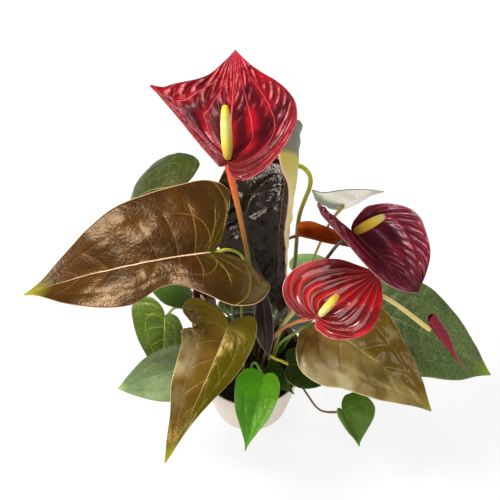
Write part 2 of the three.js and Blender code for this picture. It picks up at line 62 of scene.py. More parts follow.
# Each soft light: its place, how wide it is and its tint; all of them look at the plant's middle
PLANT_MIDDLE = (0.02, 0.02, 0.2)
LIGHTS = {
    "key": ((-0.95, 0.2, 1.45), 0.45, (1.0, 0.985, 0.955)),
    "side": ((-1.5, 0.0, 0.7), 0.25, (1.0, 1.0, 1.0)),
    "front": ((-0.5, -1.5, 0.55), 0.3, (1.0, 1.0, 1.0)),
    "top": ((0.3, 0.6, 1.7), 0.35, (1.0, 1.0, 1.0)),
    "back": ((0.35, 1.2, 1.15), 0.5, (0.98, 0.99, 1.0)),
    "fill": ((1.2, -0.6, 0.95), 0.7, (1.0, 0.99, 0.97)),
}

# Pot and soil, in millimetres
POT_HEIGHT = 97
POT_RIM_RADIUS = 60
POT_BASE_RADIUS = 46
POT_WALL = 1.8
POT_FLOOR = 3
POT_FOOT_ROUND = 1.5
POT_INNER_ROUND = 2
RIM_ROUND = 0.9
DRAIN_HOLES = 4
DRAIN_CIRCLE = 28
DRAIN_RADIUS = 4
POT_STEPS = 144
SOIL_TOP = 88
SOIL_CROWN = 2.5
SOIL_GRID = 110
CRUMB_SIZES = (0.7, 2.2)
STALK_DEPTH = 26
CLEARANCE = 0.3

# Blades, stalks and spadices: millimetres, parts of a blade's length or plain numbers
BLADE_THICKNESS = 0.9
MIDRIB_DEPTH = 0.7
TIP_HALF_WIDTH = 0.5
FOLD_SOFTNESS = 1.8
CURL_REACH = 0.35
LOBE_REACH = 0.2
VEIN_SWEEP = 1.7
VEIN_ARCH = 0.1
SINUS_X = 0.35
SINUS_Y = 0.25
VEIN_SLANT = 0.9
WAVE_COUNT = 1.5
WAVE_SHIFT = 0.3
RIB_START = 0.4
RIB_REACH = 0.3
RIB_FULLNESS = 0.6
SWELL_SIZE = 22
TEAR_PLACE = 0.25
TEAR_WIDTH = 0.03
TEAR_DEPTH = 0.45
CRUMPLE_HEIGHT = 3
ATTACH_FORWARD = 2.5
PETIOLE_RADIUS = 1.4
PEDUNCLE_RADIUS = 2.2
STALK_SIDES = 14
STALK_RINGS = 26
STALK_FOOT_SWELL = 0.25
STALK_UNEVEN = 0.05
SPADIX_BLUNTNESS = 0.26
SPADIX_TAPER = 0.15
SPADIX_SEAT = 0.8
FLORETS_ROUND = 4.2
FLORETS_ALONG = 0.45
FLORET_HEIGHT = 0.07
FLORET_FULLNESS = 0.6


def heart(width, widest=12, lobe=20, lobe_x=50, tip_width=12, tip_length=30):
    """A side outline in percent of the blade's length, from the end of the basal lobe to the tip."""
    inner = width * lobe_x / 100

    def bezier(a, b, c, d, t):
        return a * (1 - t) ** 3 + 3 * b * t * (1 - t) ** 2 + 3 * c * t * t * (1 - t) + d * t ** 3

    lobe_part = [
        (bezier(inner, inner + 0.55 * (width - inner), width, width, t),
         bezier(-lobe, -lobe, widest - 0.6 * (widest + lobe), widest, t))
        for t in (0, 0.35, 0.7, 1)
    ]
    tip_part = [
        (bezier(width, width, width * tip_width / 100, 0, t),
         bezier(widest, widest + 0.4 * (100 - widest), 100 - tip_length, 100, t))
        for t in (0.3, 0.6, 0.85, 1)
    ]
    return lobe_part + tip_part


# The form of a blade where its own entry says nothing else.
FORM = dict(fold=(12, 12), curl=(-15, -15), wave=(0, 0), droop=25, lobeBend=10, bow=0, ribs=0, rib=0,
            grid=(48, 64), stalk_swell=1.3)

# The look of a blade. Its colours: top and, in patches, shade, which on ribbed blades is also painted shade
# in the hollow of each lane between the ribs, with left where that half differs; veins, midrib, edge, tip
# and under, the underside, with lobe where that is turned, a grey that paints the turned face's reflection
# of the sky; base, base_veins and under_base near the stalk; folds, a painted highlight on the crest of
# each small cross fold; bloom, painted highlights in silvery streaks on the outer part of the right-hand
# half; sheen, the tint of reflections. Its numbers: laterals, the side veins on each half; net, vein and
# vein_width, how strong the small and the large veins are and how wide; quilt, how deep the veins lie (mm);
# swell, how far the tissue waves (mm); pucker, the height (mm), number and slant of the cross folds; tear,
# how far the right-hand lobe is torn; through, the strength of the underside's painted glow, which stands
# in for light that comes through the blade; gloss, the roughness; shine and coat, how strong the
# reflections are; rough, how strong the smallest relief is.
BLADE_COLORS = ("top", "shade", "veins", "midrib", "edge", "tip", "under")
BLADE_LOOK = dict(laterals=6, net=0.15, vein=0.4, vein_width=1, quilt=0.5, swell=0.6, pucker=(0, 1, 0),
                  tear=0, through=0, gloss=0.3, sheen="fff0c8", shine=0.42, coat=0, rough=0.3)


def blade_look(codes, **details):
    """The look of one blade: the colour codes of BLADE_COLORS in their order, and what else differs."""
    return BLADE_LOOK | dict(zip(BLADE_COLORS, codes.split())) | details


# Each leaf: where its stalk meets it, its tip, the way its upper face looks, its form, where its stalk
# leaves the soil and the stalk's route above it, and the colours of both.
LEAVES = {
    "bronze_left": dict(
        at=(-37, 6, 280), tip=(-221, -4, 225), face=(0, -25, 100), droop=28, wave=(2, 1.5), grid=(64, 88),
        left=[(14, -20), (21, -25), (29, -18), (29, -7), (22, 4), (15, 15), (14, 25), (20, 39), (19, 54),
              (13, 72), (3, 91), (0, 100)],
        right=[(13, -9), (30, -12), (38, -3), (38, 12), (35, 29), (30, 46), (21, 61), (11, 77), (4, 89),
               (0, 100)],
        root=(-8, 17), via=[(-10, 24, 150), (-6, 25, 235), (-18, 13, 274)],
        stalk_colors="6f7a22 a0a830 c8c83c",
        look=blade_look("442808 281604 9c5c24 ecc8a0 e0b890 8c8a1c 7a4a2c", laterals=9, gloss=0.2,
                        net=0.08, swell=1.0, base="342c0a", base_veins="b89c34", sheen="ffd8a8",
                        shine=0.24)),
    "green_back_left": dict(
        at=(-77, 118, 248), tip=(-135, 130, 208), face=(-10, -10, 100), fold=(8, 8), droop=50,
        left=heart(34, 15, 20),
        right=[(24, -20), (46, -24), (66, -8), (74, 18), (72, 44), (62, 68), (36, 90), (0, 100)],
        root=(-16, 26), via=[(-24, 50, 150), (-48, 92, 215)], stalk_colors="5a6a2a 6d8a3a",
        look=blade_look("2c3808 1c2604 7c8a4c 8a9a50 6a7a3a 7a8a2a 7c8a58", laterals=8, gloss=0.34,
                        net=0.2, swell=1.6, sheen="ffe8a0")),
    "olive_front_left": dict(
        at=(-22, -26, 205), tip=(-83, -135, 130), face=(-10, -45, 87), droop=35, bow=-3, wave=(2, 2),
        grid=(64, 88),
        left=[(4, -5), (9, -11), (16, -9), (20, 2), (19, 16), (16, 30), (10, 46), (5, 62), (2, 78),
              (0, 100)],
        right=[(16, -8), (29, -6), (33, 1), (31, 13), (25, 22), (22, 36), (19, 50), (12, 66), (6, 85),
               (0, 100)],
        root=(-8, -14), via=[(-7, -12, 150), (-12, -14, 196)], stalk_colors="6a7a22 8a8c30",
        # bloom paints silvery highlight streaks on the right-hand half.
        look=blade_look("785a1e 523a0c c8b070 dccc90 dcd49a 8a8a18 8a7a3a", left="484202", laterals=7,
                        gloss=0.2, vein=0.3, net=0.04, swell=1.3, tear=1.0, base="8c7a24", bloom="cabf98",
                        base_veins="d8c860", sheen="ffd880", rough=0.12)),
    "green_left": dict(
        at=(-93, 20, 150), tip=(-98, -29, 85), face=(-30, -40, 87), fold=(15, 15), bow=-3,
        left=heart(29, 21, 5, 40), right=heart(48, 0, 21),
        root=(-26, 9), via=[(-44, 18, 140), (-78, 26, 157)], stalk_colors="7a7a34 a08a3a",
        look=blade_look("4a5e18 384c0e 9ccc30 a4cc34 8a9a50 5a7a22 7f9060", vein_width=1.6,
                        base_veins="c4e438", swell=0.8)),
    "grey_low_left": dict(
        at=(-57, -45, 158), tip=(-143, -44, 105), face=(-10, -30, 87), droop=28,
        left=heart(33, 5, 18, 50, 24, 19), right=heart(25, 26, 13, 39, 24, 19),
        root=(-24, -10), via=[(-29, -18, 125), (-44, -36, 152)], stalk_colors="5d7a2e 7d9a4a",
        look=blade_look("6a8050 566c40 92a870 a4bc78 a8b888 92b06a 8a9a70", laterals=7, gloss=0.36,
                        net=0.25, vein=0.3, swell=0.8)),
    "bright_front": dict(
        at=(13, -52, 150), tip=(-6, -105, 85), face=(0, -50, 87), fold=(15, 15), droop=30,
        left=heart(22, 19, 6, 41), right=heart(30, 16, 6, 45),
        root=(0, -22), via=[(1, -26, 125), (6, -38, 149)], stalk_colors="5f8a22 7fb02a",
        look=blade_look("4c9c02 3c8402 64ac24 7cc038 b4d470 58a80c 78a450", left="60a810", laterals=5,
                        gloss=0.28)),
    "olive_front_right": dict(
        at=(71, -19, 195), tip=(184, -79, 125), face=(20, -28, 92), curl=(-10, -10), droop=35, wave=(2, 2),
        grid=(64, 88),
        left=[(14, -14), (28, -8), (35, 8), (34, 27), (29, 44), (19, 62), (9, 80), (0, 100)],
        right=[(14, -10), (29, -4), (37, 7), (36, 21), (30, 33), (24, 52), (18, 64), (6, 86), (0, 100)],
        root=(24, -10), via=[(31, -12, 145), (56, -16, 186)], stalk_colors="6a8a2a 8f9a3a",
        # Top and shade make the lower-left half pale, partly in its own colour and partly as painted sheen;
        # left is the darker half, and bloom paints silvery highlight streaks.
        look=blade_look("a08a48 6c5216 c4b070 d0bc78 dcd098 94901c 8c8048", left="6c5004", gloss=0.2,
                        vein=0.6, quilt=2.6, swell=2.8, sheen="fff0d0", shine=0.6, rough=0.2,
                        bloom="e4d8b4")),
    "dark_right": dict(
        at=(129, 27, 155), tip=(259, -30, 110), face=(10, -15, 100), fold=(8, 8), curl=(-8, -8), droop=30,
        wave=(1.5, 1.5), grid=(64, 80),
        left=[(14, -16), (24, -6), (32, 12), (36, 27), (33, 42), (24, 61), (14, 75), (5, 90), (0, 100)],
        right=[(16, -16), (32, -6), (42, 14), (40, 32), (32, 52), (21, 74), (8, 89), (0, 100)],
        root=(33, 8), via=[(54, 16, 128), (106, 28, 146)], stalk_colors="6a8a2e 7f9a3a",
        look=blade_look("5a6e38 3e5424 9cb47c 8c9c68 a4b488 86a02c 84946a", laterals=9, gloss=0.32,
                        net=0.4, vein=0.35, quilt=1.3, swell=2.2)),
    "small_low_right": dict(
        at=(97, -66, 100), tip=(115, -96, 75), face=(35, -30, 80), fold=(20, 50),
        left=heart(85, 35, 25, 30), right=heart(40, 15, 10, 40), grid=(32, 40),
        root=(33, -20), via=[(46, -38, 124), (58, -54, 116), (74, -66, 99)], stalk_radius=1.1,
        stalk_colors="33402c 3a3424 a0683a",
        look=blade_look("5c8820 4a7018 86a850 9cb85c a8b878 6a9a34 b4bc90", laterals=4, gloss=0.32,
                        swell=0.5)),
    "dark_low_middle": dict(
        at=(40, -39, 150), tip=(100, -34, 120), face=(0, -30, 90),
        left=heart(25, 12, 8), right=heart(34, 25, 8, 40), grid=(36, 44),
        root=(20, -17), via=[(20, -20, 132), (25, -33, 151)], stalk_colors="7a9a24 d2c22c",
        look=blade_look("24400c 1b3207 4a6c1c 6c8c28 8a9a4c 34540f 5a7038", laterals=5)),
    "dark_by_rim": dict(
        at=(20, -31, 126), tip=(46, -52, 108), face=(0, -30, 90), droop=20,
        left=heart(26), right=heart(30, 18), grid=(36, 44),
        root=(9, -24), via=[(11, -26, 114)], stalk_colors="5f7a22 6f8a2a",
        look=blade_look("2a4c10 203c0a 54782a 6c9034 8aa05a 3a6016 5a7a3a", laterals=5, swell=0.5)),
    "pale_back_right": dict(
        at=(58, 68, 160), tip=(108, 92, 145), face=(0, -20, 90), droop=15,
        left=heart(42), right=heart(38), grid=(40, 48),
        root=(24, 27), via=[(29, 42, 125), (44, 62, 152)], stalk_colors="6f8a40 8fa860",
        look=blade_look("6c8c50 587842 98b078 a8bc84 b0c090 7a9a50 94a67c", gloss=0.34)),
    "dark_hanging": dict(
        at=(34, 71, 321), tip=(35, 20, 150), face=(-20, -85, 50), fold=(36, 5), curl=(150, -10), bow=3,
        ribs=2, rib=2, grid=(96, 120),
        left=[(16, -26), (28, -25), (27, -9), (20, 5), (18, 22), (16, 38), (12, 55), (8, 78), (0, 100)],
        right=heart(38, 34, 12, 50, 30, 26),
        root=(34, 20), via=[(46, 56, 180), (48, 68, 255), (56, 67, 309), (46, 72, 325)], stalk_radius=2.2,
        stalk_colors="4a4a22 4a481c a09c1c ecdc20",
        # lobe paints the sky reflection of the turned lobe in grey; through gives the underside a painted
        # glow.
        look=blade_look("201407 0e0804 4a3c1c 7a4420 e0b098 3a3418 dccb90", lobe="6c6858", laterals=8,
                        gloss=0.1, vein=0.25, through=0.25, swell=1.8, pucker=(1.5, 14, 0.1),
                        sheen="fff0e0", shine=0.3, rough=0.6, under_base="a89c3c")),
    "narrow_dark": dict(
        at=(12, -7, 215), tip=(19, -34, 150), face=(0, -80, 50), fold=(50, 50), curl=(10, 10), droop=20,
        left=heart(16, 24, 12, 42), right=heart(20, 35, 9, 34), grid=(36, 48),
        root=(7, -6), via=[(12, -1, 150), (13, 1, 206)], stalk_colors="4a3a30 5a4038",
        look=blade_look("33292a 241c1c 5a4c48 6a5850 8a7468 3a3030 4c403c")),
    "orange_young": dict(
        at=(48, 57, 246), tip=(112, 44, 237), face=(10, -30, 90), fold=(55, 55), curl=(20, 20), droop=10,
        left=heart(24, 20, 4), right=heart(24, 20, 4), grid=(40, 56),
        root=(14, 17), via=[(16, 30, 160), (32, 52, 230)], stalk_colors="4a2a1a 7a3a1a",
        # through gives the underside a painted glow.
        look=blade_look("ec7c30 a03c0c a85a24 b86a34 6a2c10 7a3c14 dc7820", through=0.45, gloss=0.18,
                        vein=0.6, swell=1.4)),
    "upper_right": dict(
        at=(86, 64, 280), tip=(126, 63, 300), face=(10, 85, 50), fold=(15, 32), droop=10, lobeBend=-20,
        left=heart(47, 12, 40, 62),
        right=[(14, -58), (44, -66), (66, -44), (62, -14), (50, 10), (38, 35), (22, 65), (8, 88), (0, 100)],
        grid=(36, 48),
        root=(27, 13), via=[(52, 40, 165), (76, 62, 245)], stalk_colors="7c8c2a a8a43c",
        # The pale under colour and through paint the light that comes through the blade, as a glow.
        look=blade_look("5c5c4c 4a4a3e 84846c 9c9c80 7c7c70 6c6c58 ecebda", under_base="6c7668",
                        through=0.3, laterals=5, gloss=0.34, swell=0.5)),
    "green_under_bronze": dict(
        at=(-65, 29, 190), tip=(-125, 85, 160), face=(0, -10, 100),
        left=heart(34), right=heart(34), grid=(40, 48),
        root=(-19, 17), via=[(-30, 20, 140), (-56, 25, 174)], stalk_colors="9a9a2c d0a838",
        look=blade_look("3a5c14 2c4a0e 6a8c34 84a040 8a9a50 4a6c1c 6c8048", gloss=0.32, swell=0.8)),
    "back_low": dict(
        at=(-26, 65, 126), tip=(50, 77, 103), face=(0, -90, 6), droop=15,
        left=heart(38, 30, 9), right=heart(46, 40, 9), grid=(40, 56),
        root=(-4, 32), via=[(-22, 43, 110), (-45, 61, 120)], stalk_colors="5d7a2e 6d8a3a",
        look=blade_look("3e5a1e 2f4a14 6a8840 7c9a48 8a9a58 5a7a26 748858", laterals=7, gloss=0.32,
                        net=0.5, swell=1.0)),
    "back_right": dict(
        at=(50, 61, 120), tip=(62, 67, 32), face=(0, -90, 6), fold=(2, 2), curl=(-12, -12), droop=10,
        left=heart(36, 12, 22), right=heart(36, 12, 22), grid=(40, 56),
        root=(14, 36), via=[(23, 50, 122), (39, 60, 145), (51, 68, 136)], stalk_colors="5d7a2e 6d8a3a",
        look=blade_look("2a4414 1c300c 6c8846 7c9a50 8a9a60 5c7c2c 788c5c", laterals=7, gloss=0.34,
                        net=0.2, swell=1.0)),
}

# Each bloom: its spathe, written as a leaf is, the stalk below it and the spadix above it.
BLOOMS = {
    "crimson": dict(
        at=(-19, 16, 385), tip=(-14, 138, 405), face=(0, -25, 96), fold=(8, 30), curl=(0, 15), droop=-15,
        lobeBend=-8, ribs=3, rib=2.4, grid=(108, 120),
        left=[(5, -4), (19, 13), (36, 35), (51, 53), (57, 60), (48, 60), (41, 64), (20, 74), (8, 88),
              (0, 100)],
        right=[(16, -24), (30, -24), (44, -16), (56, 0), (56, 19), (48, 38), (37, 55), (24, 70), (12, 84),
               (0, 100)],
        root=(4, 6), via=[(5, 3, 170), (0, 2, 250), (-9, 6, 325)],
        stalk_colors="3a3408 3a3408 443c08 504408 70580c b87018 f04a14", stalk_swell=1.5,
        # folds paints pink highlights on the crest of each cross fold.
        look=blade_look("980c18 30020a e45c64 e8585c 7a1c2c a02030 b84438", net=0.0, laterals=0, gloss=0.2,
                        vein=0.5, folds="dc7078", pucker=(2.2, 11, 0.5), base="5c1818", sheen="ff9ca4",
                        coat=0.12, shine=0.22, rough=0.04, swell=0.0),
        spadix=dict(along=(-4, 45, 89), length=45, radius=5, sunk=1.8,
                    colors="ecb83c fcec60 fffca0 fff000")),
    "purple": dict(
        at=(93, 23, 290), tip=(155, -21, 255), face=(10, -35, 95), fold=(20, 40), curl=(15, -10), droop=0,
        lobeBend=-5, ribs=3, rib=1.8, grid=(108, 120),
        left=[(12, -6), (27, -7), (36, -3), (50, 10), (60, 27), (61, 42), (57, 53), (42, 77), (24, 90),
              (0, 100)],
        right=[(4, -50), (11, -49), (18, -38), (20, -20), (23, 2), (28, 22), (31, 42), (30, 62), (22, 80),
               (10, 93), (0, 100)],
        root=(17, 5), via=[(26, 2, 165), (56, 5, 232), (80, 18, 274)],
        stalk_radius=1.7, stalk_colors="4c3818 3c2810 401c10", stalk_swell=1.1,
        # folds paints pink highlights on the crest of each cross fold.
        look=blade_look("8c2032 420c16 9c4c58 a05058 c89098 4c1c1c 7c4450", net=0.0, laterals=0, gloss=0.2,
                        folds="b06074", pucker=(1.8, 11, 0.5), sheen="ffb0c4", coat=0.15, rough=0.06,
                        swell=0.0),
        spadix=dict(along=(78, 6, 66), length=33, radius=4.8, sunk=1.9,
                    colors="8a6c0c d0a420 f4cc38 fcec9c")),
    "scarlet": dict(
        at=(61, -40, 240), tip=(123, 8, 245), face=(0, -45, 90), curl=(15, -10), droop=5,
        ribs=4, rib=2, grid=(120, 108),
        left=[(24, -19), (38, -20), (55, -15), (64, -5), (66, 12), (57, 38), (42, 62), (23, 80), (0, 100)],
        right=[(10, -9), (27, -3), (39, 11), (47, 28), (48, 46), (37, 68), (24, 83), (0, 100)],
        root=(12, -11), via=[(17, -16, 140), (27, -29, 198), (43, -38, 230)], stalk_radius=1.7,
        stalk_colors="4a3a1c 6a5034 8a6448 d07838 e87c38", stalk_swell=1.1,
        look=blade_look("dc1c26 6c0610 f4a89c e06058 c84048 a01818 d04430", net=0.04, laterals=0,
                        gloss=0.16, vein=0.5, sheen="ffb0ac", coat=0.85, rough=0.1, swell=0.7),
        spadix=dict(along=(55, 40, 60), length=28, radius=4.1, sunk=2,
                    colors="fcec9c fff094 fce850 e8a040")),
    "rolled": dict(
        at=(179, -18, 192), tip=(220, -46, 150), face=(55, 60, 30), fold=(20, 20), curl=(225, 225),
        droop=-8, lobeBend=-50, grid=(56, 56),
        left=heart(19, 4, 22, 88, 14, 55), right=heart(19, 4, 22, 88, 14, 55),
        root=(25, 0), via=[(36, 6, 160), (84, 8, 231), (128, -8, 228)],
        stalk_colors="8a8a3c c8b864 ecdc94 f0d878", stalk_swell=1.1,
        look=blade_look("4c0c14 300808 7a2430 8a2c38 c06070 6a1420 8c0c28", sheen="ff9ca8", coat=0.4,
                        laterals=0, gloss=0.22, swell=0.3),
        spadix=dict(along=(60, -36, -50), length=22, radius=1.6, sunk=0,
                    colors="e8d070 e8d070")),
    "small_purple": dict(
        at=(-46, 3, 200), tip=(-58, 16, 226), face=(20, -60, 40), fold=(30, 30), curl=(20, 20), droop=10,
        left=heart(40, 12, 16), right=heart(40, 12, 16), grid=(36, 44),
        root=(-16, 0), via=[(-22, 2, 140), (-40, 7, 186)], stalk_colors="7a6a2c c8a04c",
        stalk_swell=1.1,
        look=blade_look("5c1430 3c0c20 8c3c58 a05070 d8a0b0 6c2440 7c2c48", laterals=0, gloss=0.25,
                        coat=0.3, swell=0.3),
        spadix=dict(along=(-15, -12, 80), length=16, radius=2, sunk=1,
                    colors="e8c8a0 f4dcc0")),
}


def along_outline(points, t):
    """The point at t, 0 to 1, on a smooth line through the outline, spaced by chord length."""
    chords = [math.dist(a, b) for a, b in zip(points, points[1:])]
    left = t * sum(chords)
    i = 0
    while i < len(chords) - 1 and left > chords[i]:
        left -= chords[i]
        i += 1
    k = min(left / chords[i], 1)
    b, c = points[i], points[i + 1]
    a = points[i - 1] if i else [2 * b[n] - c[n] for n in (0, 1)]
    d = points[i + 2] if i + 2 < len(points) else [2 * c[n] - b[n] for n in (0, 1)]
    return [spline(a[n], b[n], c[n], d[n], k) for n in (0, 1)]


def spline(a, b, c, d, k):
    """A Catmull-Rom blend from b to c."""
    return 0.5 * (2 * b + (c - a) * k + (2 * a - 5 * b + 4 * c - d) * k ** 2
                  + (3 * b - a - 3 * c + d) * k ** 3)


def smooth(low, high, value):
    """0 at low and 1 at high, which may be the smaller one, with a smooth step between."""
    part = min(max((value - low) / (high - low), 0.0), 1.0)
    return part * part * (3 - 2 * part)


class Blade:
    """A leaf blade or spathe as a surface: u from -1 on the left margin to 1 on the right one, and v from
    0 at the sinus to 1 at the tip. Lines of equal v run as the side veins do."""

    def __init__(self, spec):
        self.spec = FORM | spec
        self.look = spec["look"]
        self.base = Vector(spec["at"])
        chord = Vector(spec["tip"]) - self.base
        droop = math.radians(self.spec["droop"])
        self.half = droop / 2
        self.length = chord.length * (self.half / math.sin(self.half) if abs(droop) > 1e-4 else 1)
        self.bend = droop / self.length
        self.forward = chord.normalized()
        face = Vector(spec["face"])
        self.up = (face - self.forward * face.dot(self.forward)).normalized()
        self.across = self.forward.cross(self.up)
        self.outlines = {}

    def outline(self, side, v):
        """The margin's flat point at v, in millimetres."""
        key = (side, v)
        if key not in self.outlines:
            points = self.spec["right" if side else "left"]
            self.outlines[key] = [value * self.length / 100 for value in along_outline(points, v)]
        return self.outlines[key]

    def relief(self, side, x, y, v, t):
        """How far the surface stands off the plain form, in millimetres: ribs, swellings and folds."""
        lane = t + (1 - min(v / RIB_START, 1)) ** 2
        body = math.sin(math.pi * t)
        near = min(math.hypot(x, y) / (RIB_REACH * self.length), 1)
        hollow = abs(math.sin(math.pi * self.spec["ribs"] * lane)) * body ** RIB_FULLNESS
        rise = -self.spec["rib"] * hollow * (1 - v * v) * near
        height, folds, slant = self.look["pucker"]
        if height:
            lens = abs(math.sin(math.pi * max(self.spec["ribs"], 1) * lane)) ** 0.7
            where = max(smooth(0.5, 0.75, t), 0.7 * smooth(0.5, 0.75, v)) * smooth(1, 0.94, t)
            cross = abs(math.sin(math.pi * (folds * (v - slant * t) + 0.2 * math.cos(9 * v))))
            strength = 0.8 + 0.7 * noise.noise((4 * t, 6 * v, 3 + side))
            rise += height * lens * where * near * strength * (cross - 0.5) * (1 - smooth(0.88, 1, v))
        laterals = self.look["laterals"]
        if laterals:
            depth = self.look["quilt"] * near * (1 - v * v)
            row = abs((v * laterals - VEIN_SLANT * t + 0.5) % 1 - 0.5)
            rise -= depth * math.exp(-((row / 0.14) ** 2)) * smooth(0.85, 0.5, t) * smooth(0.04, 0.12, v)
            line = abs((1.6 * lane + 0.5) % 1 - 0.5)
            rise -= depth * math.exp(-((line / 0.12) ** 2)) * smooth(0.25, 0.45, lane)
        swell = self.look["swell"]
        if swell:
            place = Vector((x, y, 40.0 * side)) / SWELL_SIZE
            rise += swell * noise.noise(place) * near * (1 - v ** 4)
            rise += 0.4 * swell * noise.noise(place * 2.6) * near * (1 - v ** 4)
            rise -= 0.5 * min(swell, 1) * math.exp(-((x / 1.6) ** 2)) * (1 - v)
        if self.look["tear"] and side == 1:
            torn = smooth(0.38, 0.30, v) * smooth(0.12, 0.2, v)
            crease = noise.noise((x / 6, y / 3.5, 3.0)) + 0.6 * noise.noise((x / 3, y / 2, 7.0))
            rise += CRUMPLE_HEIGHT * torn * smooth(0.3, 0.7, t) * crease
        return rise

    def shape(self, side, x, y, v, t):
        """Folds, curls and bends the flat point x, y, then sets it in its place."""
        spec, length = self.spec, self.length
        reach = CURL_REACH * length
        fold = math.radians(spec["fold"][side]) * x / (x + FOLD_SOFTNESS)
        curl = math.radians(spec["curl"][side])
        out, rise = math.cos(fold) * x, math.sin(fold) * x
        if abs(curl) > 1e-4:
            out = reach / curl * (math.sin(fold + curl * x / reach) - math.sin(fold))
            rise = -reach / curl * (math.cos(fold + curl * x / reach) - math.cos(fold))
        turn = fold + curl * x / reach
        ripple = math.sin(2 * math.pi * (WAVE_COUNT * v + WAVE_SHIFT * side))
        rise += spec["wave"][side] / 100 * length * t * t * ripple * math.sqrt(max(math.sin(math.pi * v), 0))
        off = self.relief(side, x, y, v, t)
        rise += off * math.cos(turn)
        out -= off * math.sin(turn)
        part = min(max(y / length, 0), 1)
        sideways = (out if side else -out) + 4 * spec["bow"] / 100 * length * part * (1 - part)
        bend = self.bend if y >= 0 else math.radians(spec["lobeBend"]) / (LOBE_REACH * length)
        angle = bend * y
        ahead, lift = rise * math.sin(angle), rise * math.cos(angle)
        if abs(bend) < 1e-7:
            ahead += y
        else:
            ahead += math.sin(angle) / bend
            lift += (math.cos(angle) - 1) / bend
        cos, sin = math.cos(self.half), math.sin(self.half)
        return (self.base + self.across * sideways + self.forward * (ahead * cos - lift * sin)
                + self.up * (ahead * sin + lift * cos))

    def point(self, u, v):
        """The place of u, v on the bent blade, in millimetres."""
        side, t = (1 if u > 0 else 0), abs(u)
        edge_x, edge_y = self.outline(side, v)
        rib_y = self.length * v ** VEIN_SWEEP
        fade = (1 - v) ** 4
        span = math.hypot(edge_x, edge_y - rib_y)
        first = self.spec["right" if side else "left"][0]
        sinus_x, sinus_y = (value * fade * self.length / 100 for value in first)
        mid_x = edge_x / 2 - SINUS_X * sinus_x
        mid_y = (edge_y + rib_y) / 2 + SINUS_Y * sinus_y - VEIN_ARCH * span * (1 - fade)
        x = 2 * mid_x * t * (1 - t) + (edge_x + TIP_HALF_WIDTH) * t * t
        y = rib_y * (1 - t) ** 2 + 2 * mid_y * t * (1 - t) + edge_y * t * t
        if self.look["tear"] and side == 1:
            gap = math.exp(-(((v - TEAR_PLACE) / TEAR_WIDTH) ** 2))
            ragged = 0.8 + 0.5 * noise.noise((v * 70, 2.0, 5.0))
            x *= 1 - TEAR_DEPTH * self.look["tear"] * gap * t ** 4 * ragged
        return self.shape(side, max(x, 0), y, v, t)

    def seat(self, direction, radius, above):
        """Where a stalk (below) or a spadix (above) ends, just clear of the solid's blade."""
        cos, sin = math.cos(self.half), math.sin(self.half)
        tangent = self.forward * cos + self.up * sin
        normal = self.up * cos - self.forward * sin
        lean = math.sqrt(max(1 - direction.dot(normal) ** 2, 0))
        away = BLADE_THICKNESS / 2 + (0 if above else MIDRIB_DEPTH) + CLEARANCE + radius * lean
        return self.base + tangent * ATTACH_FORWARD + normal * (away if above else -away)


class StalkLine:
    """A stalk's line: straight up out of the soil, then smoothly through its way points to its seat."""

    def __init__(self, spec, blade, radius):
        last = Vector(spec["via"][-1])
        toward = (blade.base - last).normalized()
        end = blade.seat(toward, radius, False) + toward
        mouth = Vector((*spec["root"], SOIL_TOP + 2 * SOIL_CROWN))
        self.bottom = Vector((*spec["root"], SOIL_TOP - STALK_DEPTH + 1))
        self.points = [mouth, *map(Vector, spec["via"]), end]

    def point(self, t):
        """The place at t, from 0 at the bottom to 1 at the seat."""
        place = t * len(self.points)
        if place < 1:
            return self.bottom.lerp(self.points[0], place)
        points = self.points
        i = min(int(place - 1), len(points) - 2)
        b, c = points[i], points[i + 1]
        a = points[i - 1] if i else 2 * b - c
        d = points[i + 2] if i + 2 < len(points) else 2 * c - b
        return spline(a, b, c, d, place - 1 - i)


class Value:
    """A socket of a material, with Python's operators for shader maths on numbers."""

    def __init__(self, finish, socket):
        self.finish = finish
        self.socket = socket

    def maths(self, operation, *others):
        """What a Math node makes of this value and others."""
        inputs = dict(enumerate((self, *others)))
        return self.finish.value("ShaderNodeMath", dict(operation=operation), inputs)

    def other_way(self, operation, other):
        """The same with the other one first."""
        return self.finish.value("ShaderNodeMath", dict(operation=operation), {0: other, 1: self})

    def __add__(self, other):
        return self.maths("ADD", other)

    def __sub__(self, other):
        return self.maths("SUBTRACT", other)

    def __mul__(self, other):
        return self.maths("MULTIPLY", other)

    def __truediv__(self, other):
        return self.maths("DIVIDE", other)

    def __pow__(self, other):
        return self.maths("POWER", other)

    def __rsub__(self, other):
        return self.other_way("SUBTRACT", other)

    def __rtruediv__(self, other):
        return self.other_way("DIVIDE", other)

    def __abs__(self):
        return self.maths("ABSOLUTE")

    __radd__ = __add__
    __rmul__ = __mul__

    def lowest(self, other):
        return self.maths("MINIMUM", other)

    def highest(self, other):
        return self.maths("MAXIMUM", other)

    def cosine(self):
        return self.maths("COSINE")

    def to_whole(self):
        """The distance to the nearest whole number."""
        return abs((self + 0.5).maths("FRACT") - 0.5)

    def step(self, low, high):
        """0 at low and 1 at high, or the other way round, with a smooth step between."""
        ends = {1: min(low, high), 2: max(low, high), 3: float(low > high), 4: float(low < high)}
        settings = dict(interpolation_type="SMOOTHSTEP")
        return self.finish.value("ShaderNodeMapRange", settings, {0: self} | ends)


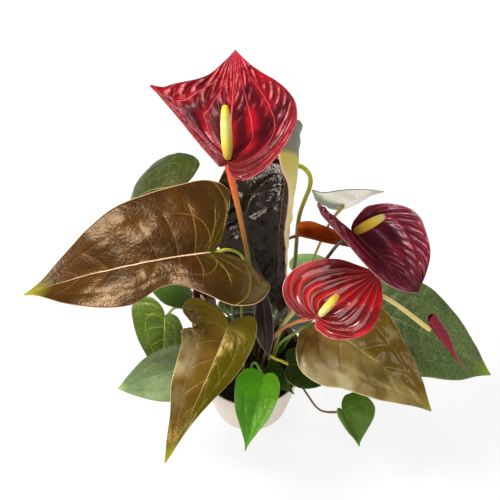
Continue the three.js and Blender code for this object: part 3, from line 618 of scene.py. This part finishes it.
class Finish:
    """A procedural material on a Principled shader."""

    def __init__(self, name, constants):
        self.material = bpy.data.materials.new(name)
        self.material.use_nodes = True
        self.tree = self.material.node_tree
        self.tree.nodes.clear()
        self.shader = self.node("ShaderNodeBsdfPrincipled", {}, constants)
        self.node("ShaderNodeOutputMaterial", {}, {"Surface": self.shader.outputs[0]})
        self.place = self.node("ShaderNodeTexCoord", {}, {}).outputs["Object"]
        self.tone = None

    def node(self, kind, settings, inputs):
        """A node of this kind with its settings made first, then its sockets set or linked."""
        node = self.tree.nodes.new(kind)
        for key, value in settings.items():
            if key == "stops":
                for element in list(node.color_ramp.elements)[1:]:
                    node.color_ramp.elements.remove(element)
                for i, (at, tone) in enumerate(value):
                    element = node.color_ramp.elements.new(at) if i else node.color_ramp.elements[0]
                    element.position, element.color = at, tone
            else:
                setattr(node, key, value)
        for key, value in inputs.items():
            self.set(node.inputs[key], value)
        return node

    def set(self, socket, value):
        """Links a socket to a value, or gives it a constant; a text is a colour code."""
        source = value.socket if isinstance(value, Value) else value
        source = color(value) if isinstance(value, str) else source
        if isinstance(source, bpy.types.NodeSocket):
            self.tree.links.new(source, socket)
        else:
            socket.default_value = source

    def value(self, kind, settings, inputs, output=0):
        """The output of a new node."""
        return Value(self, self.node(kind, settings, inputs).outputs[output])

    def noise(self, size, detail=2.0):
        """Smooth noise, about 0 to 1, with patches of this size in metres."""
        inputs = {"Vector": self.place, "Scale": 1 / size, "Detail": detail}
        return self.value("ShaderNodeTexNoise", {}, inputs)

    def cells(self, size):
        """The distance to the edges of an uneven net of cells of this size in metres."""
        inputs = {"Vector": self.place, "Scale": 0.6 / size, "Detail": 1.0}
        shift = self.node("ShaderNodeTexNoise", {}, inputs).outputs["Color"]
        moved = self.node("ShaderNodeVectorMath", dict(operation="MULTIPLY_ADD"),
                          {0: shift, 1: (size, size, size), 2: self.place}).outputs[0]
        inputs = {"Vector": moved, "Scale": 1 / size}
        return self.value("ShaderNodeTexVoronoi", dict(feature="DISTANCE_TO_EDGE"), inputs)

    def blend(self, factor, first, second):
        """A colour from first to second."""
        return self.value("ShaderNodeMix", dict(data_type="RGBA"), {0: factor, 6: first, 7: second}, 2)

    def ramp(self, factor, codes):
        """A colour along evenly spaced stops, from their codes."""
        tones = [color(code) for code in codes.split()]
        stops = [(i / (len(tones) - 1), tone) for i, tone in enumerate(tones)]
        return self.value("ShaderNodeValToRGB", dict(stops=stops), {0: factor})

    def tint(self, factor, tone):
        """Lays another colour over the finish's tone, as strongly as the factor says."""
        self.tone = self.blend(factor, self.tone, tone)

    def paint(self, roughness):
        """Feeds the finish's tone and this roughness to the shader."""
        self.set(self.shader.inputs["Base Color"], self.tone)
        self.set(self.shader.inputs["Roughness"], roughness)

    def surface_uv(self):
        """The two numbers of the piece's own UV map."""
        uv = self.node("ShaderNodeUVMap", dict(uv_map="Surface"), {})
        split = self.node("ShaderNodeSeparateXYZ", {}, {0: uv.outputs[0]})
        return Value(self, split.outputs[0]), Value(self, split.outputs[1])

    def bump(self, height, distance):
        """Relief of this distance in metres where height goes from 0 to 1."""
        inputs = {"Height": height, "Distance": distance, "Strength": 1.0}
        self.set(self.shader.inputs["Normal"], self.node("ShaderNodeBump", {}, inputs).outputs[0])


def color(code):
    """The linear colour of an sRGB code such as 'e2cfc4'."""
    parts = [int(code[i:i + 2], 16) / 255 for i in (0, 2, 4)]
    return [(p / 12.92 if p <= 0.04045 else ((p + 0.055) / 1.055) ** 2.4) for p in parts] + [1.0]


def blade_lines(finish):
    """Where a point lies on its blade: u across, t from the midrib outwards, v along, lane in the lanes
    between the ribs, and a slow unevenness."""
    across, v = finish.surface_uv()
    uneven = finish.noise(0.012) - 0.5
    u = across * 2 - 1
    t = abs(u)
    lane = t + (1 - (v / RIB_START).lowest(1.0)) ** 2 + uneven * 0.03
    return u, t, v, lane, uneven


def blade_top(name, look):
    """The upper face of a blade: patches, halves, side veins, a net of small veins and a pale edge."""
    finish = Finish(name, {"Specular Tint": look["sheen"], "Specular IOR Level": look["shine"],
                           "Coat Weight": look["coat"], "Coat Roughness": 0.07})
    u, t, v, lane, _ = blade_lines(finish)
    width = 0.010 * look["vein_width"]
    midrib = t.step(1.8 * width, 0.6 * width) * v.step(1.02, 0.9)
    if look["laterals"]:
        lanes = (lane * 1.6).to_whole().step(1.5 * width, 0.3 * width) * lane.step(0.3, 0.5)
        side = (v * look["laterals"] - t * VEIN_SLANT).to_whole()
        side = side.step(3.2 * width, width) * t.step(0.75, 0.45) * v.step(0.04, 0.12)
        spread = (v * 20).to_whole().step(6 * width, 2 * width) * v.step(0.24, 0.08) * t.step(0.8, 0.3)
        veins = lanes.highest(side * 0.7).highest(spread * 0.5)
    else:
        count = max(look["ribs"], 1)
        veins = (lane * count).to_whole().step(0.01 * count, 0.008) * t.step(1.0, 0.9)
    cells = finish.cells(0.0048)
    net = cells.step(0.1, 0.02) * look["net"]
    patches = finish.noise(0.03, 3.0).step(0.3, 0.7)
    finish.tone = finish.blend(patches, look["top"], look["shade"])
    if "left" in look:
        finish.tint(u.step(0.05, -0.2), look["left"])
    # Painted shade: the hollow middle of each lane between the ribs is darkened with the shade colour.
    if look["ribs"]:
        lens = (lane * look["ribs"]).to_whole()
        painted_hollow_shade = lens.step(0.08, 0.4) * t.step(1.0, 0.7) * v.step(1.0, 0.5)
        finish.tint(painted_hollow_shade * 0.85, look["shade"])
    # Painted highlight: the folds colour on the crest of each cross fold, broken into patches.
    if "folds" in look:
        height, folds, slant = look["pucker"]
        painted_crest_highlights = (v * folds - t * (folds * slant) + (v * 9).cosine() * 0.2).to_whole().step(0.25, 0.48)
        where = t.step(0.5, 0.75).highest(v.step(0.5, 0.75) * 0.7) * t.step(0.99, 0.93)
        where = where * lens.step(0.05, 0.3)
        highlight_blotches = finish.noise(0.009).step(0.35, 0.6)
        finish.tint(painted_crest_highlights * where * highlight_blotches * 0.8, look["folds"])
    if "base" in look:
        finish.tint(v.step(0.30, 0.08) * 0.8, look["base"])
    # Painted highlight: silvery streaks on the outer part of the right-hand half.
    if "bloom" in look:
        streaks = finish.noise(0.02, 3.0).step(0.3, 0.7) * t.step(0.3, 0.8) * u.step(0.2, 0.5)
        streaks = streaks * v.step(0.85, 0.45) * v.step(0.1, 0.3)
        finish.tint(streaks * 0.4, look["bloom"])
    finish.tint(v.step(0.86, 1.0), look["tip"])
    finish.tint(net * 0.6, look["veins"])
    line = look["veins"]
    if "base_veins" in look:
        line = finish.blend(v.step(0.40, 0.12), line, look["base_veins"])
        veins = veins * (1.0 + v.step(0.35, 0.1) * 0.4)
    finish.tint((veins * look["vein"]).lowest(1.0), line)
    finish.tint(midrib * 0.85, look["midrib"])
    finish.tint(t.step(0.985, 0.998) * 0.8, look["edge"])
    grain = finish.noise(0.0012, 3.0)
    finish.paint(look["gloss"] + grain * 0.12 + patches * 0.06)
    height = cells.step(0.0, 0.35) * (0.1 + 0.4 * look["net"]) + grain * 0.06
    height = height + finish.noise(0.008, 1.0) * look["rough"] - veins * 0.4 - midrib * 0.4
    finish.bump(height, 0.0006)
    return finish.material


def blade_under(name, look):
    """The duller underside of a blade, with its veins standing out and a painted glow."""
    finish = Finish(name, {"Specular IOR Level": 0.35, "Emission Strength": look["through"]})
    _, t, v, lane, uneven = blade_lines(finish)
    midrib = t.step(0.035, 0.012)
    veins = (lane * 1.6).to_whole().step(0.03, 0.006)
    side = (v * max(look["laterals"], 4) - t * VEIN_SLANT + uneven * 0.25).to_whole().step(0.08, 0.02)
    veins = veins.highest(side * t.step(0.8, 0.5) * 0.7)
    dull = color(look["under"])
    lighter = [min(1.0, 1.35 * part + 0.02) for part in dull[:3]] + [1.0]
    darker = [0.8 * part for part in dull[:3]] + [1.0]
    finish.tone = finish.blend(finish.noise(0.02, 3.0).step(0.3, 0.7), dull, darker)
    finish.tint(veins.highest(midrib) * 0.6, lighter)
    if "under_base" in look:
        finish.tint(v.step(0.38, 0.16) * 0.9, look["under_base"])
    # Painted reflection: near the basal lobe the underside takes a grey that stands for the turned upper face
    # with the sky reflected in it.
    if "lobe" in look:
        finish.tint((v - t * 0.05).step(0.13, 0.11), look["lobe"])
    finish.tint(t.step(0.96, 0.99), look["edge"])
    # Painted glow: the underside gives off its own tone, as strongly as through says, standing in for light
    # that comes through the blade.
    finish.set(finish.shader.inputs["Emission Color"], finish.tone)
    finish.paint(0.42 + finish.noise(0.004) * 0.15)
    finish.bump(veins * 0.5 + midrib + finish.cells(0.0065).step(0.2, 0.0) * 0.3, 0.0006)
    return finish.material


def blade_edge(name, look):
    """The thin pale edge of a blade."""
    finish = Finish(name, {})
    finish.tone = finish.blend(finish.noise(0.01), look["edge"], look["veins"])
    finish.paint(0.4)
    return finish.material


def stalk_skin(name, codes):
    """A stalk's skin: colours from the soil up to the blade, fine lines along it and small flecks."""
    finish = Finish(name, {"Coat Weight": 0.1})
    around, along = finish.surface_uv()
    finish.tone = finish.ramp(along, codes)
    streaks = finish.noise(0.004, 2.0)
    darker = finish.blend(0.35, finish.tone, "2a2010")
    finish.tint(streaks.step(0.5, 0.75) * 0.5, darker)
    finish.paint(0.32 + streaks * 0.15)
    lines = (around * 22).to_whole()
    finish.bump(lines * 0.6 + streaks * 0.5, 0.00015)
    return finish.material


def spadix_skin(name, spec, around, rows):
    """The rod's florets: a staggered net of small bumps, darker in the seams between them."""
    finish = Finish(name, {"Specular IOR Level": 0.3})
    angle, height = finish.surface_uv()
    spiral, climb = angle * (math.pi * around), height * (math.pi / 2 * rows)
    floret = abs((spiral + climb).cosine() * (spiral - climb).cosine())
    finish.tone = finish.ramp(height, spec["colors"])
    dark = finish.blend(0.45, finish.tone, "7a5408")
    finish.tint(floret.step(0.5, 0.08) * 0.7, dark)
    finish.tint(finish.noise(0.006).step(0.45, 0.75) * 0.25, dark)
    finish.paint(0.6 - floret * 0.15)
    finish.bump(floret ** FLORET_FULLNESS, 0.0004)
    return finish.material


def pot_skin(code):
    """Smooth moulded pot: faint streaks, fine speckles, soil dust at rim and foot, and soil stain and painted
    shade on its inner wall.
    """
    finish = Finish("pot_skin", {"Coat Weight": 0.08, "Coat Roughness": 0.3})
    split = finish.node("ShaderNodeSeparateXYZ", {}, {0: finish.place})
    z = Value(finish, split.outputs[2])
    base = color(code)
    warm = [base[0] * 0.93, base[1] * 0.88, base[2] * 0.86, 1.0]
    finish.tone = finish.blend(finish.noise(0.05, 3.0).step(0.35, 0.75) * 0.5, base, warm)
    specks = finish.noise(0.0012, 2.0).step(0.66, 0.74)
    finish.tint(specks * 0.15, "a89888")
    dust = finish.noise(0.006, 4.0).step(0.45, 0.75) * z.step(0.088, 0.097)
    foot = finish.noise(0.008, 4.0).step(0.5, 0.8) * z.step(0.012, 0.001)
    finish.tint(dust.highest(foot) * 0.35, "8a7868")
    # Soil stain and painted shade: the inner wall above the soil is darkened nearly to the soil's colour.
    reach = (Value(finish, split.outputs[0]) ** 2 + Value(finish, split.outputs[1]) ** 2) ** 0.5
    slope = (POT_RIM_RADIUS - POT_BASE_RADIUS) / POT_HEIGHT
    wall = (POT_BASE_RADIUS - 1) * MM
    inside_stain_and_shade = (reach - z * slope).step(wall + 0.0006, wall) * z.step(0.002, 0.003)
    finish.tint(inside_stain_and_shade * 0.85, "3c3028")
    finish.paint(0.34 + finish.noise(0.02, 3.0) * 0.12)
    finish.bump(finish.noise(0.0016, 2.0) * 0.6 + finish.noise(0.02) * 0.4, 0.00012)
    return finish.material


def soil_skin(name, codes):
    """Dark crumbly potting soil with damp and drier patches and pale fibres."""
    finish = Finish(name, {"Specular IOR Level": 0.2})
    fine, coarse = finish.noise(0.0016, 4.0), finish.noise(0.009, 3.0)
    finish.tone = finish.ramp(fine.step(0.25, 0.8), codes)
    finish.tint(coarse.step(0.5, 0.75) * 0.6, codes.split()[0])
    fibres = finish.noise(0.0022, 1.0).step(0.70, 0.74)
    finish.tint(fibres * 0.6, "8a6a44")
    finish.paint(0.75 + fine * 0.2)
    finish.bump(fine * 0.7 + coarse * 0.5, 0.002)
    return finish.material


def add_object(name, data):
    """A new object in the scene."""
    made = bpy.data.objects.new(name, data)
    bpy.context.scene.collection.objects.link(made)
    return made


def add_mesh(name, bm, materials=()):
    """A new object in the scene with this mesh and these materials."""
    mesh = bpy.data.meshes.new(name)
    bm.to_mesh(mesh)
    bm.free()
    for material in materials:
        mesh.materials.append(material)
    return add_object(name, mesh)


def new_mesh():
    """An empty bmesh with the UV map that the finishes read."""
    bm = bmesh.new()
    return bm, bm.loops.layers.uv.new("Surface")


def add_piece(node, bm, materials, ending="fine"):
    """Makes the object, named after its node, under the root. A fine piece stands in for and hides that node.
    """
    for face in bm.faces:
        face.smooth = True
    piece = add_mesh(f"{node}_{ending}", bm, materials)
    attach(piece, "root")
    if ending == "fine":
        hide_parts(node)
    return piece


def grid_sheet(columns, rows):
    """A sheet with u from -1 to 1 along x and v from 0 to 1 along y, and its UV map."""
    bm, uv = new_mesh()
    bmesh.ops.create_grid(bm, x_segments=columns, y_segments=rows, size=1.0)
    for vert in bm.verts:
        vert.co.y = (vert.co.y + 1) / 2
    for face in bm.faces:
        for loop in face.loops:
            loop[uv].uv = ((loop.vert.co.x + 1) / 2, loop.vert.co.y)
    return bm


def add_blade(node, spec, thickness):
    """One blade: a fine sheet on its surface formula, given a thickness."""
    blade = Blade(spec)
    bm = grid_sheet(*blade.spec["grid"])
    for vert in bm.verts:
        vert.co = blade.point(vert.co.x, vert.co.y) * MM
    look = blade.look | dict(ribs=blade.spec["ribs"])
    materials = [blade_top(node + "_top", look), blade_under(node + "_under", look),
                 blade_edge(node + "_edge", look)]
    piece = add_piece(node, bm, materials)
    solid = piece.modifiers.new("thickness", "SOLIDIFY")
    solid.thickness = thickness
    solid.offset = 0
    solid.use_even_offset = False
    solid.material_offset = 1
    solid.material_offset_rim = 2
    return blade


def add_stalk(node, spec, blade, radius):
    """One stalk: a tube along its line, thicker where it leaves the soil and where it meets the blade."""
    rings = STALK_RINGS * (len(spec["via"]) + 1)
    line = StalkLine(spec, blade, radius)
    bm = grid_sheet(STALK_SIDES, rings)
    middles = [line.point(i / rings) for i in range(rings + 1)]
    frames = []
    side = Vector((1, 0, 0))
    for i in range(rings + 1):
        along = (middles[min(i + 1, rings)] - middles[max(i - 1, 0)]).normalized()
        side = (side - along * side.dot(along)).normalized()
        frames.append((side.copy(), along.cross(side)))
    swell = blade.spec["stalk_swell"]
    for vert in bm.verts:
        i = round(vert.co.y * rings)
        angle = math.pi * vert.co.x
        part = vert.co.y
        foot = STALK_FOOT_SWELL * smooth(0.35, 0.1, part)
        width = radius * (1 + (swell - 1) * smooth(0.80, 0.97, part) + foot)
        width *= 1 + STALK_UNEVEN * noise.noise((math.cos(angle), math.sin(angle), 20 * part + radius))
        a, b = frames[i]
        vert.co = (middles[i] + (a * math.cos(angle) + b * math.sin(angle)) * width) * MM
    bmesh.ops.remove_doubles(bm, verts=bm.verts, dist=1e-6)
    bmesh.ops.holes_fill(bm, edges=[edge for edge in bm.edges if edge.is_boundary], sides=0)
    bmesh.ops.recalc_face_normals(bm, faces=bm.faces)
    add_piece(node, bm, [stalk_skin(node + "_skin", spec["stalk_colors"])])


def add_spadix(node, spec, blade):
    """One spadix: a blunt rod covered with florets in crossing spirals."""
    around = max(round(FLORETS_ROUND * spec["radius"]), 8)
    rows = 2 * round(FLORETS_ALONG * spec["length"])
    direction = Vector(spec["along"]).normalized()
    base = blade.seat(direction, spec["radius"], True) - blade.up * (spec["sunk"] + SPADIX_SEAT)
    turn = Vector((0, 0, 1)).rotation_difference(direction)
    bm, uv = new_mesh()
    bmesh.ops.create_uvsphere(bm, u_segments=5 * around, v_segments=3 * rows, radius=1.0)
    heights = {vert: math.acos(min(max(-vert.co.z, -1), 1)) / math.pi for vert in bm.verts}
    angles = {vert: math.atan2(vert.co.y, vert.co.x) / (2 * math.pi) + 0.5 for vert in bm.verts}
    for face in bm.faces:
        middle = sum((Vector(vert.co) for vert in face.verts), Vector())
        home = math.atan2(middle.y, middle.x) / (2 * math.pi) + 0.5
        for loop in face.loops:
            pole = abs(loop.vert.co.z) > 0.99999
            angle = home if pole else angles[loop.vert]
            angle += round(home - angle)
            loop[uv].uv = (angle, heights[loop.vert])
    for vert in bm.verts:
        height, angle = heights[vert], 2 * math.pi * angles[vert]
        spiral, climb = around / 2 * angle, math.pi / 2 * rows * height
        floret = abs(math.cos(spiral + climb) * math.cos(spiral - climb)) ** FLORET_FULLNESS
        taper = math.sin(math.pi * height) ** SPADIX_BLUNTNESS * (1 - SPADIX_TAPER * height)
        ring = spec["radius"] * taper * (0.95 + FLORET_HEIGHT * floret) if 0 < height < 1 else 0
        place = Vector((ring * math.cos(angle), ring * math.sin(angle), height * spec["length"]))
        vert.co = (turn @ place + base) * MM
    bmesh.ops.recalc_face_normals(bm, faces=bm.faces)
    add_piece(node, bm, [spadix_skin(node + "_skin", spec, around, rows)])


def inner_radius(height):
    """The pot's inner radius at a height."""
    low = POT_FLOOR + POT_INNER_ROUND
    part = (height - low) / (POT_HEIGHT - low)
    return POT_BASE_RADIUS + (POT_RIM_RADIUS - POT_BASE_RADIUS) * part - POT_WALL


def round_corner(x, z, radius, first, last, steps=5):
    """Points of an arc round x, z from one angle to the other, in degrees."""
    angles = [math.radians(first + (last - first) * i / steps) for i in range(steps + 1)]
    return [(x + radius * math.cos(angle), z + radius * math.sin(angle)) for angle in angles]


def add_pot(settings):
    """The pot: a spun profile with rounded rim and foot, and drain holes cut through its floor."""
    rim_middle = POT_RIM_RADIUS - POT_WALL / 2
    foot = POT_FOOT_ROUND
    profile = [(0, 0), *round_corner(POT_BASE_RADIUS - foot, foot, foot, -90, -8)]
    profile += round_corner(rim_middle, POT_HEIGHT - RIM_ROUND, RIM_ROUND, 0, 180, 8)
    inner = POT_INNER_ROUND
    profile += round_corner(inner_radius(POT_FLOOR) - inner, POT_FLOOR + inner, inner, 0, -90)
    profile += [(0, POT_FLOOR)]
    bm, uv = new_mesh()
    verts = [bm.verts.new((x * MM, 0, z * MM)) for x, z in profile]
    edges = [bm.edges.new(pair) for pair in zip(verts, verts[1:])]
    bmesh.ops.spin(bm, geom=verts + edges, cent=(0, 0, 0), axis=(0, 0, 1), angle=2 * math.pi,
                   steps=POT_STEPS, use_merge=True, use_normal_flip=False, use_duplicate=False)
    bmesh.ops.remove_doubles(bm, verts=bm.verts, dist=1e-6)
    bmesh.ops.recalc_face_normals(bm, faces=bm.faces)
    pot = add_piece("pot", bm, [pot_skin(settings.color)])
    cutters, _ = new_mesh()
    for i in range(DRAIN_HOLES):
        angle = 2 * math.pi * i / DRAIN_HOLES
        place = Matrix.Translation(Vector((math.cos(angle), math.sin(angle), 0)) * DRAIN_CIRCLE * MM)
        bmesh.ops.create_cone(cutters, cap_ends=True, segments=32, radius1=DRAIN_RADIUS * MM,
                              radius2=DRAIN_RADIUS * MM, depth=4 * POT_FLOOR * MM, matrix=place)
    cutter = add_mesh("drain_cutters", cutters)
    cut = pot.modifiers.new("drain", "BOOLEAN")
    cut.operation, cut.solver, cut.object = "DIFFERENCE", "EXACT", cutter
    graph = bpy.context.evaluated_depsgraph_get()
    finished = bpy.data.meshes.new_from_object(pot.evaluated_get(graph))
    pot.modifiers.clear()
    pot.data = finished
    bpy.data.objects.remove(cutter)


def add_soil(settings):
    """The soil: a crumbly crowned top on a closed body that fills the pot, and loose crumbs on it."""
    edge = inner_radius(SOIL_TOP) - 2 * CLEARANCE
    bm = grid_sheet(SOIL_GRID, SOIL_GRID)
    for vert in bm.verts:
        x, y = vert.co.x, 2 * vert.co.y - 1
        if x or y:
            scale = max(abs(x), abs(y)) / math.hypot(x, y)
            x, y = x * scale, y * scale
        part = math.hypot(x, y)
        place = Vector((x, y, 0)) * edge
        lumps = 1.6 * noise.noise(place / 9) + 0.9 * noise.noise(place / 3.1) + 0.5 * noise.noise(place / 1.3)
        place.z = SOIL_TOP + SOIL_CROWN * (1 - part) + lumps * settings.roughness * smooth(1.0, 0.93, part)
        vert.co = place * MM
    rim = [e for e in bm.edges if e.is_boundary]
    for height in (0.5 * SOIL_TOP, POT_FLOOR + POT_INNER_ROUND + CLEARANCE):
        made = bmesh.ops.extrude_edge_only(bm, edges=rim)["geom"]
        rim = [item for item in made if isinstance(item, bmesh.types.BMEdge)]
        for vert in (item for item in made if isinstance(item, bmesh.types.BMVert)):
            spot = Vector((vert.co.x, vert.co.y, 0)).normalized() * (inner_radius(height) - 2 * CLEARANCE)
            vert.co = (spot + Vector((0, 0, height))) * MM
    bmesh.ops.holes_fill(bm, edges=rim, sides=0)
    bmesh.ops.recalc_face_normals(bm, faces=bm.faces)
    add_piece("soil", bm, [soil_skin("soil_skin", "0c0806 1c120c 2e2016")])
    draw = random.Random(settings.seed)
    crumbs, _ = new_mesh()
    for _ in range(settings.crumbs):
        reach, angle = edge * 0.95 * math.sqrt(draw.random()), draw.uniform(0, 2 * math.pi)
        size = draw.uniform(*CRUMB_SIZES)
        height = SOIL_TOP + SOIL_CROWN * (1 - reach / edge) + draw.uniform(0, 0.6)
        place = Vector((reach * math.cos(angle), reach * math.sin(angle), height)) * MM
        turn = Matrix.Rotation(draw.uniform(0, math.pi), 4, Vector((draw.random(), draw.random(), 1)))
        stretch = Matrix.Diagonal((draw.uniform(0.8, 1.8), draw.uniform(0.7, 1.1), draw.uniform(0.5, 0.9), 1))
        bmesh.ops.create_icosphere(crumbs, subdivisions=1, radius=size * MM,
                                   matrix=Matrix.Translation(place) @ turn @ stretch)
    piece = add_piece("soil", crumbs, [soil_skin("crumb_skin", "140d08 2c1e14 4a3423")], "crumbs")
    for polygon in piece.data.polygons:
        polygon.use_smooth = False


class PotSettings(bpy.types.PropertyGroup):
    """The pot's finish."""
    color: bpy.props.StringProperty(name="Colour", description="Colour code of the pot", default="dccabc")


class SoilSettings(bpy.types.PropertyGroup):
    """The soil's surface."""
    roughness: bpy.props.FloatProperty(
        name="Roughness", description="Height of the lumps in millimetres", default=1.0, min=0, max=2)
    crumbs: bpy.props.IntProperty(
        name="Crumbs", description="Loose crumbs on the soil", default=420, min=0, max=900)
    seed: bpy.props.IntProperty(name="Seed", description="Start of the random draw", default=7)


class PlantSettings(bpy.types.PropertyGroup):
    """The thickness of blades and the radius of stalks."""
    blade: bpy.props.FloatProperty(
        name="Blade", description="Thickness of a blade", default=BLADE_THICKNESS * MM, unit="LENGTH",
        subtype="DISTANCE")
    petiole: bpy.props.FloatProperty(
        name="Petiole", description="Radius of a leaf's stalk", default=PETIOLE_RADIUS * MM, unit="LENGTH",
        subtype="DISTANCE")
    peduncle: bpy.props.FloatProperty(
        name="Peduncle", description="Radius of a bloom's stalk", default=PEDUNCLE_RADIUS * MM,
        unit="LENGTH", subtype="DISTANCE")


class StudioSettings(bpy.types.PropertyGroup):
    """The studio's light."""
    key: bpy.props.FloatProperty(
        name="Key", description="Power of the large soft light at the left", default=30, unit="POWER")
    side: bpy.props.FloatProperty(
        name="Side", description="Power of the low light at the left", default=8, unit="POWER")
    front: bpy.props.FloatProperty(
        name="Front", description="Power of the low light in front", default=9, unit="POWER")
    top: bpy.props.FloatProperty(
        name="Top", description="Power of the light over the plant", default=6, unit="POWER")
    back: bpy.props.FloatProperty(
        name="Back", description="Power of the light behind the plant", default=7, unit="POWER")
    fill: bpy.props.FloatProperty(
        name="Fill", description="Power of the light at the right", default=5, unit="POWER")
    sky: bpy.props.FloatProperty(name="Surroundings", description="Strength of the pale room", default=0.14)
    floor: bpy.props.FloatProperty(name="Floor", description="How pale the floor is", default=0.22)
    glow: bpy.props.FloatProperty(name="Glow", description="The floor's own light", default=0.78)


class PLANT_OT_pot(bpy.types.Operator):
    """Builds the pot."""
    bl_idname = "plant.pot"
    bl_label = "Pot"

    def execute(self, context):
        add_pot(context.scene.plant_pot)
        return {"FINISHED"}


class PLANT_OT_soil(bpy.types.Operator):
    """Builds the soil and its crumbs."""
    bl_idname = "plant.soil"
    bl_label = "Soil"

    def execute(self, context):
        add_soil(context.scene.plant_soil)
        return {"FINISHED"}


class PLANT_OT_leaves(bpy.types.Operator):
    """Builds every leaf blade and its petiole."""
    bl_idname = "plant.leaves"
    bl_label = "Leaves"

    def execute(self, context):
        settings = context.scene.plant_form
        for name, spec in LEAVES.items():
            blade = add_blade(f"leaf_{name}_blade", spec, settings.blade)
            radius = spec.get("stalk_radius", settings.petiole / MM)
            add_stalk(f"leaf_{name}_petiole", spec, blade, radius)
        return {"FINISHED"}


class PLANT_OT_blooms(bpy.types.Operator):
    """Builds every spathe, spadix and peduncle."""
    bl_idname = "plant.blooms"
    bl_label = "Blooms"

    def execute(self, context):
        settings = context.scene.plant_form
        for name, spec in BLOOMS.items():
            blade = add_blade(f"bloom_{name}_spathe", spec, settings.blade)
            radius = spec.get("stalk_radius", settings.peduncle / MM)
            add_stalk(f"bloom_{name}_peduncle", spec, blade, radius)
            add_spadix(f"bloom_{name}_spadix", spec["spadix"], blade)
        return {"FINISHED"}


def add_light(name, power):
    """A square soft light."""
    place, size, tint = LIGHTS[name]
    light = bpy.data.lights.new(name, "AREA")
    light.shape, light.size, light.energy, light.color = "SQUARE", size, power, tint
    holder = add_object(name, light)
    holder.location = place
    holder.rotation_euler = (Vector(PLANT_MIDDLE) - Vector(place)).to_track_quat("-Z", "Y").to_euler()


class PLANT_OT_studio(bpy.types.Operator):
    """Sets up the camera, the pale floor and the soft lights."""
    bl_idname = "plant.studio"
    bl_label = "Studio"

    def execute(self, context):
        scene = context.scene
        lens = bpy.data.cameras.new("camera")
        lens.lens, lens.sensor_width = CAMERA_LENS, 36
        camera = add_object("camera", lens)
        camera.location = CAMERA_PLACE
        camera.rotation_euler = (math.radians(CAMERA_PITCH), 0, 0)
        scene.camera = camera
        scene.view_settings.view_transform = "Standard"
        studio = scene.plant_studio
        for name in LIGHTS:
            add_light(name, getattr(studio, name))
        world = bpy.data.worlds.new("room")
        world.use_nodes = True
        room = world.node_tree.nodes["Background"]
        room.inputs["Color"].default_value = (1.0, 1.0, 1.0, 1.0)
        room.inputs["Strength"].default_value = studio.sky
        scene.world = world
        pale = (studio.floor, studio.floor, studio.floor, 1.0)
        finish = Finish("pale_floor", {"Base Color": pale, "Roughness": 0.9, "Specular IOR Level": 0.0,
                                       "Emission Color": "ffffff", "Emission Strength": studio.glow})
        bm, _ = new_mesh()
        below = Matrix.Translation((0, 0, -0.0002))
        bmesh.ops.create_grid(bm, x_segments=1, y_segments=1, size=4.0, matrix=below)
        add_mesh("floor", bm, [finish.material])
        return {"FINISHED"}


class PLANT_PT_panel(bpy.types.Panel):
    """Lists the plant's settings and operators."""
    bl_idname = "PLANT_PT_panel"
    bl_label = "Potted flamingo flower"
    bl_space_type = "VIEW_3D"
    bl_region_type = "UI"
    bl_category = "Plant"

    def draw(self, context):
        for name, settings in SETTINGS.items():
            box = self.layout.box()
            for key in settings.__annotations__:
                box.prop(getattr(context.scene, name), key)
        for operator in OPERATORS:
            self.layout.operator(operator.bl_idname)


SETTINGS = {"plant_pot": PotSettings, "plant_soil": SoilSettings, "plant_form": PlantSettings,
            "plant_studio": StudioSettings}
OPERATORS = (PLANT_OT_studio, PLANT_OT_pot, PLANT_OT_soil, PLANT_OT_leaves, PLANT_OT_blooms)


def register():
    for entry in (*SETTINGS.values(), *OPERATORS, PLANT_PT_panel):
        bpy.utils.register_class(entry)
    for name, settings in SETTINGS.items():
        setattr(bpy.types.Scene, name, bpy.props.PointerProperty(type=settings))


def unregister():
    for name in SETTINGS:
        delattr(bpy.types.Scene, name)
    for entry in reversed((*SETTINGS.values(), *OPERATORS, PLANT_PT_panel)):
        bpy.utils.unregister_class(entry)


def main():
    """Builds everything in order."""
    register()
    bpy.ops.plant.studio()
    bpy.ops.plant.pot()
    bpy.ops.plant.soil()
    bpy.ops.plant.leaves()
    bpy.ops.plant.blooms()
    bpy.context.view_layer.update()


if __name__ == "__main__":
    main()
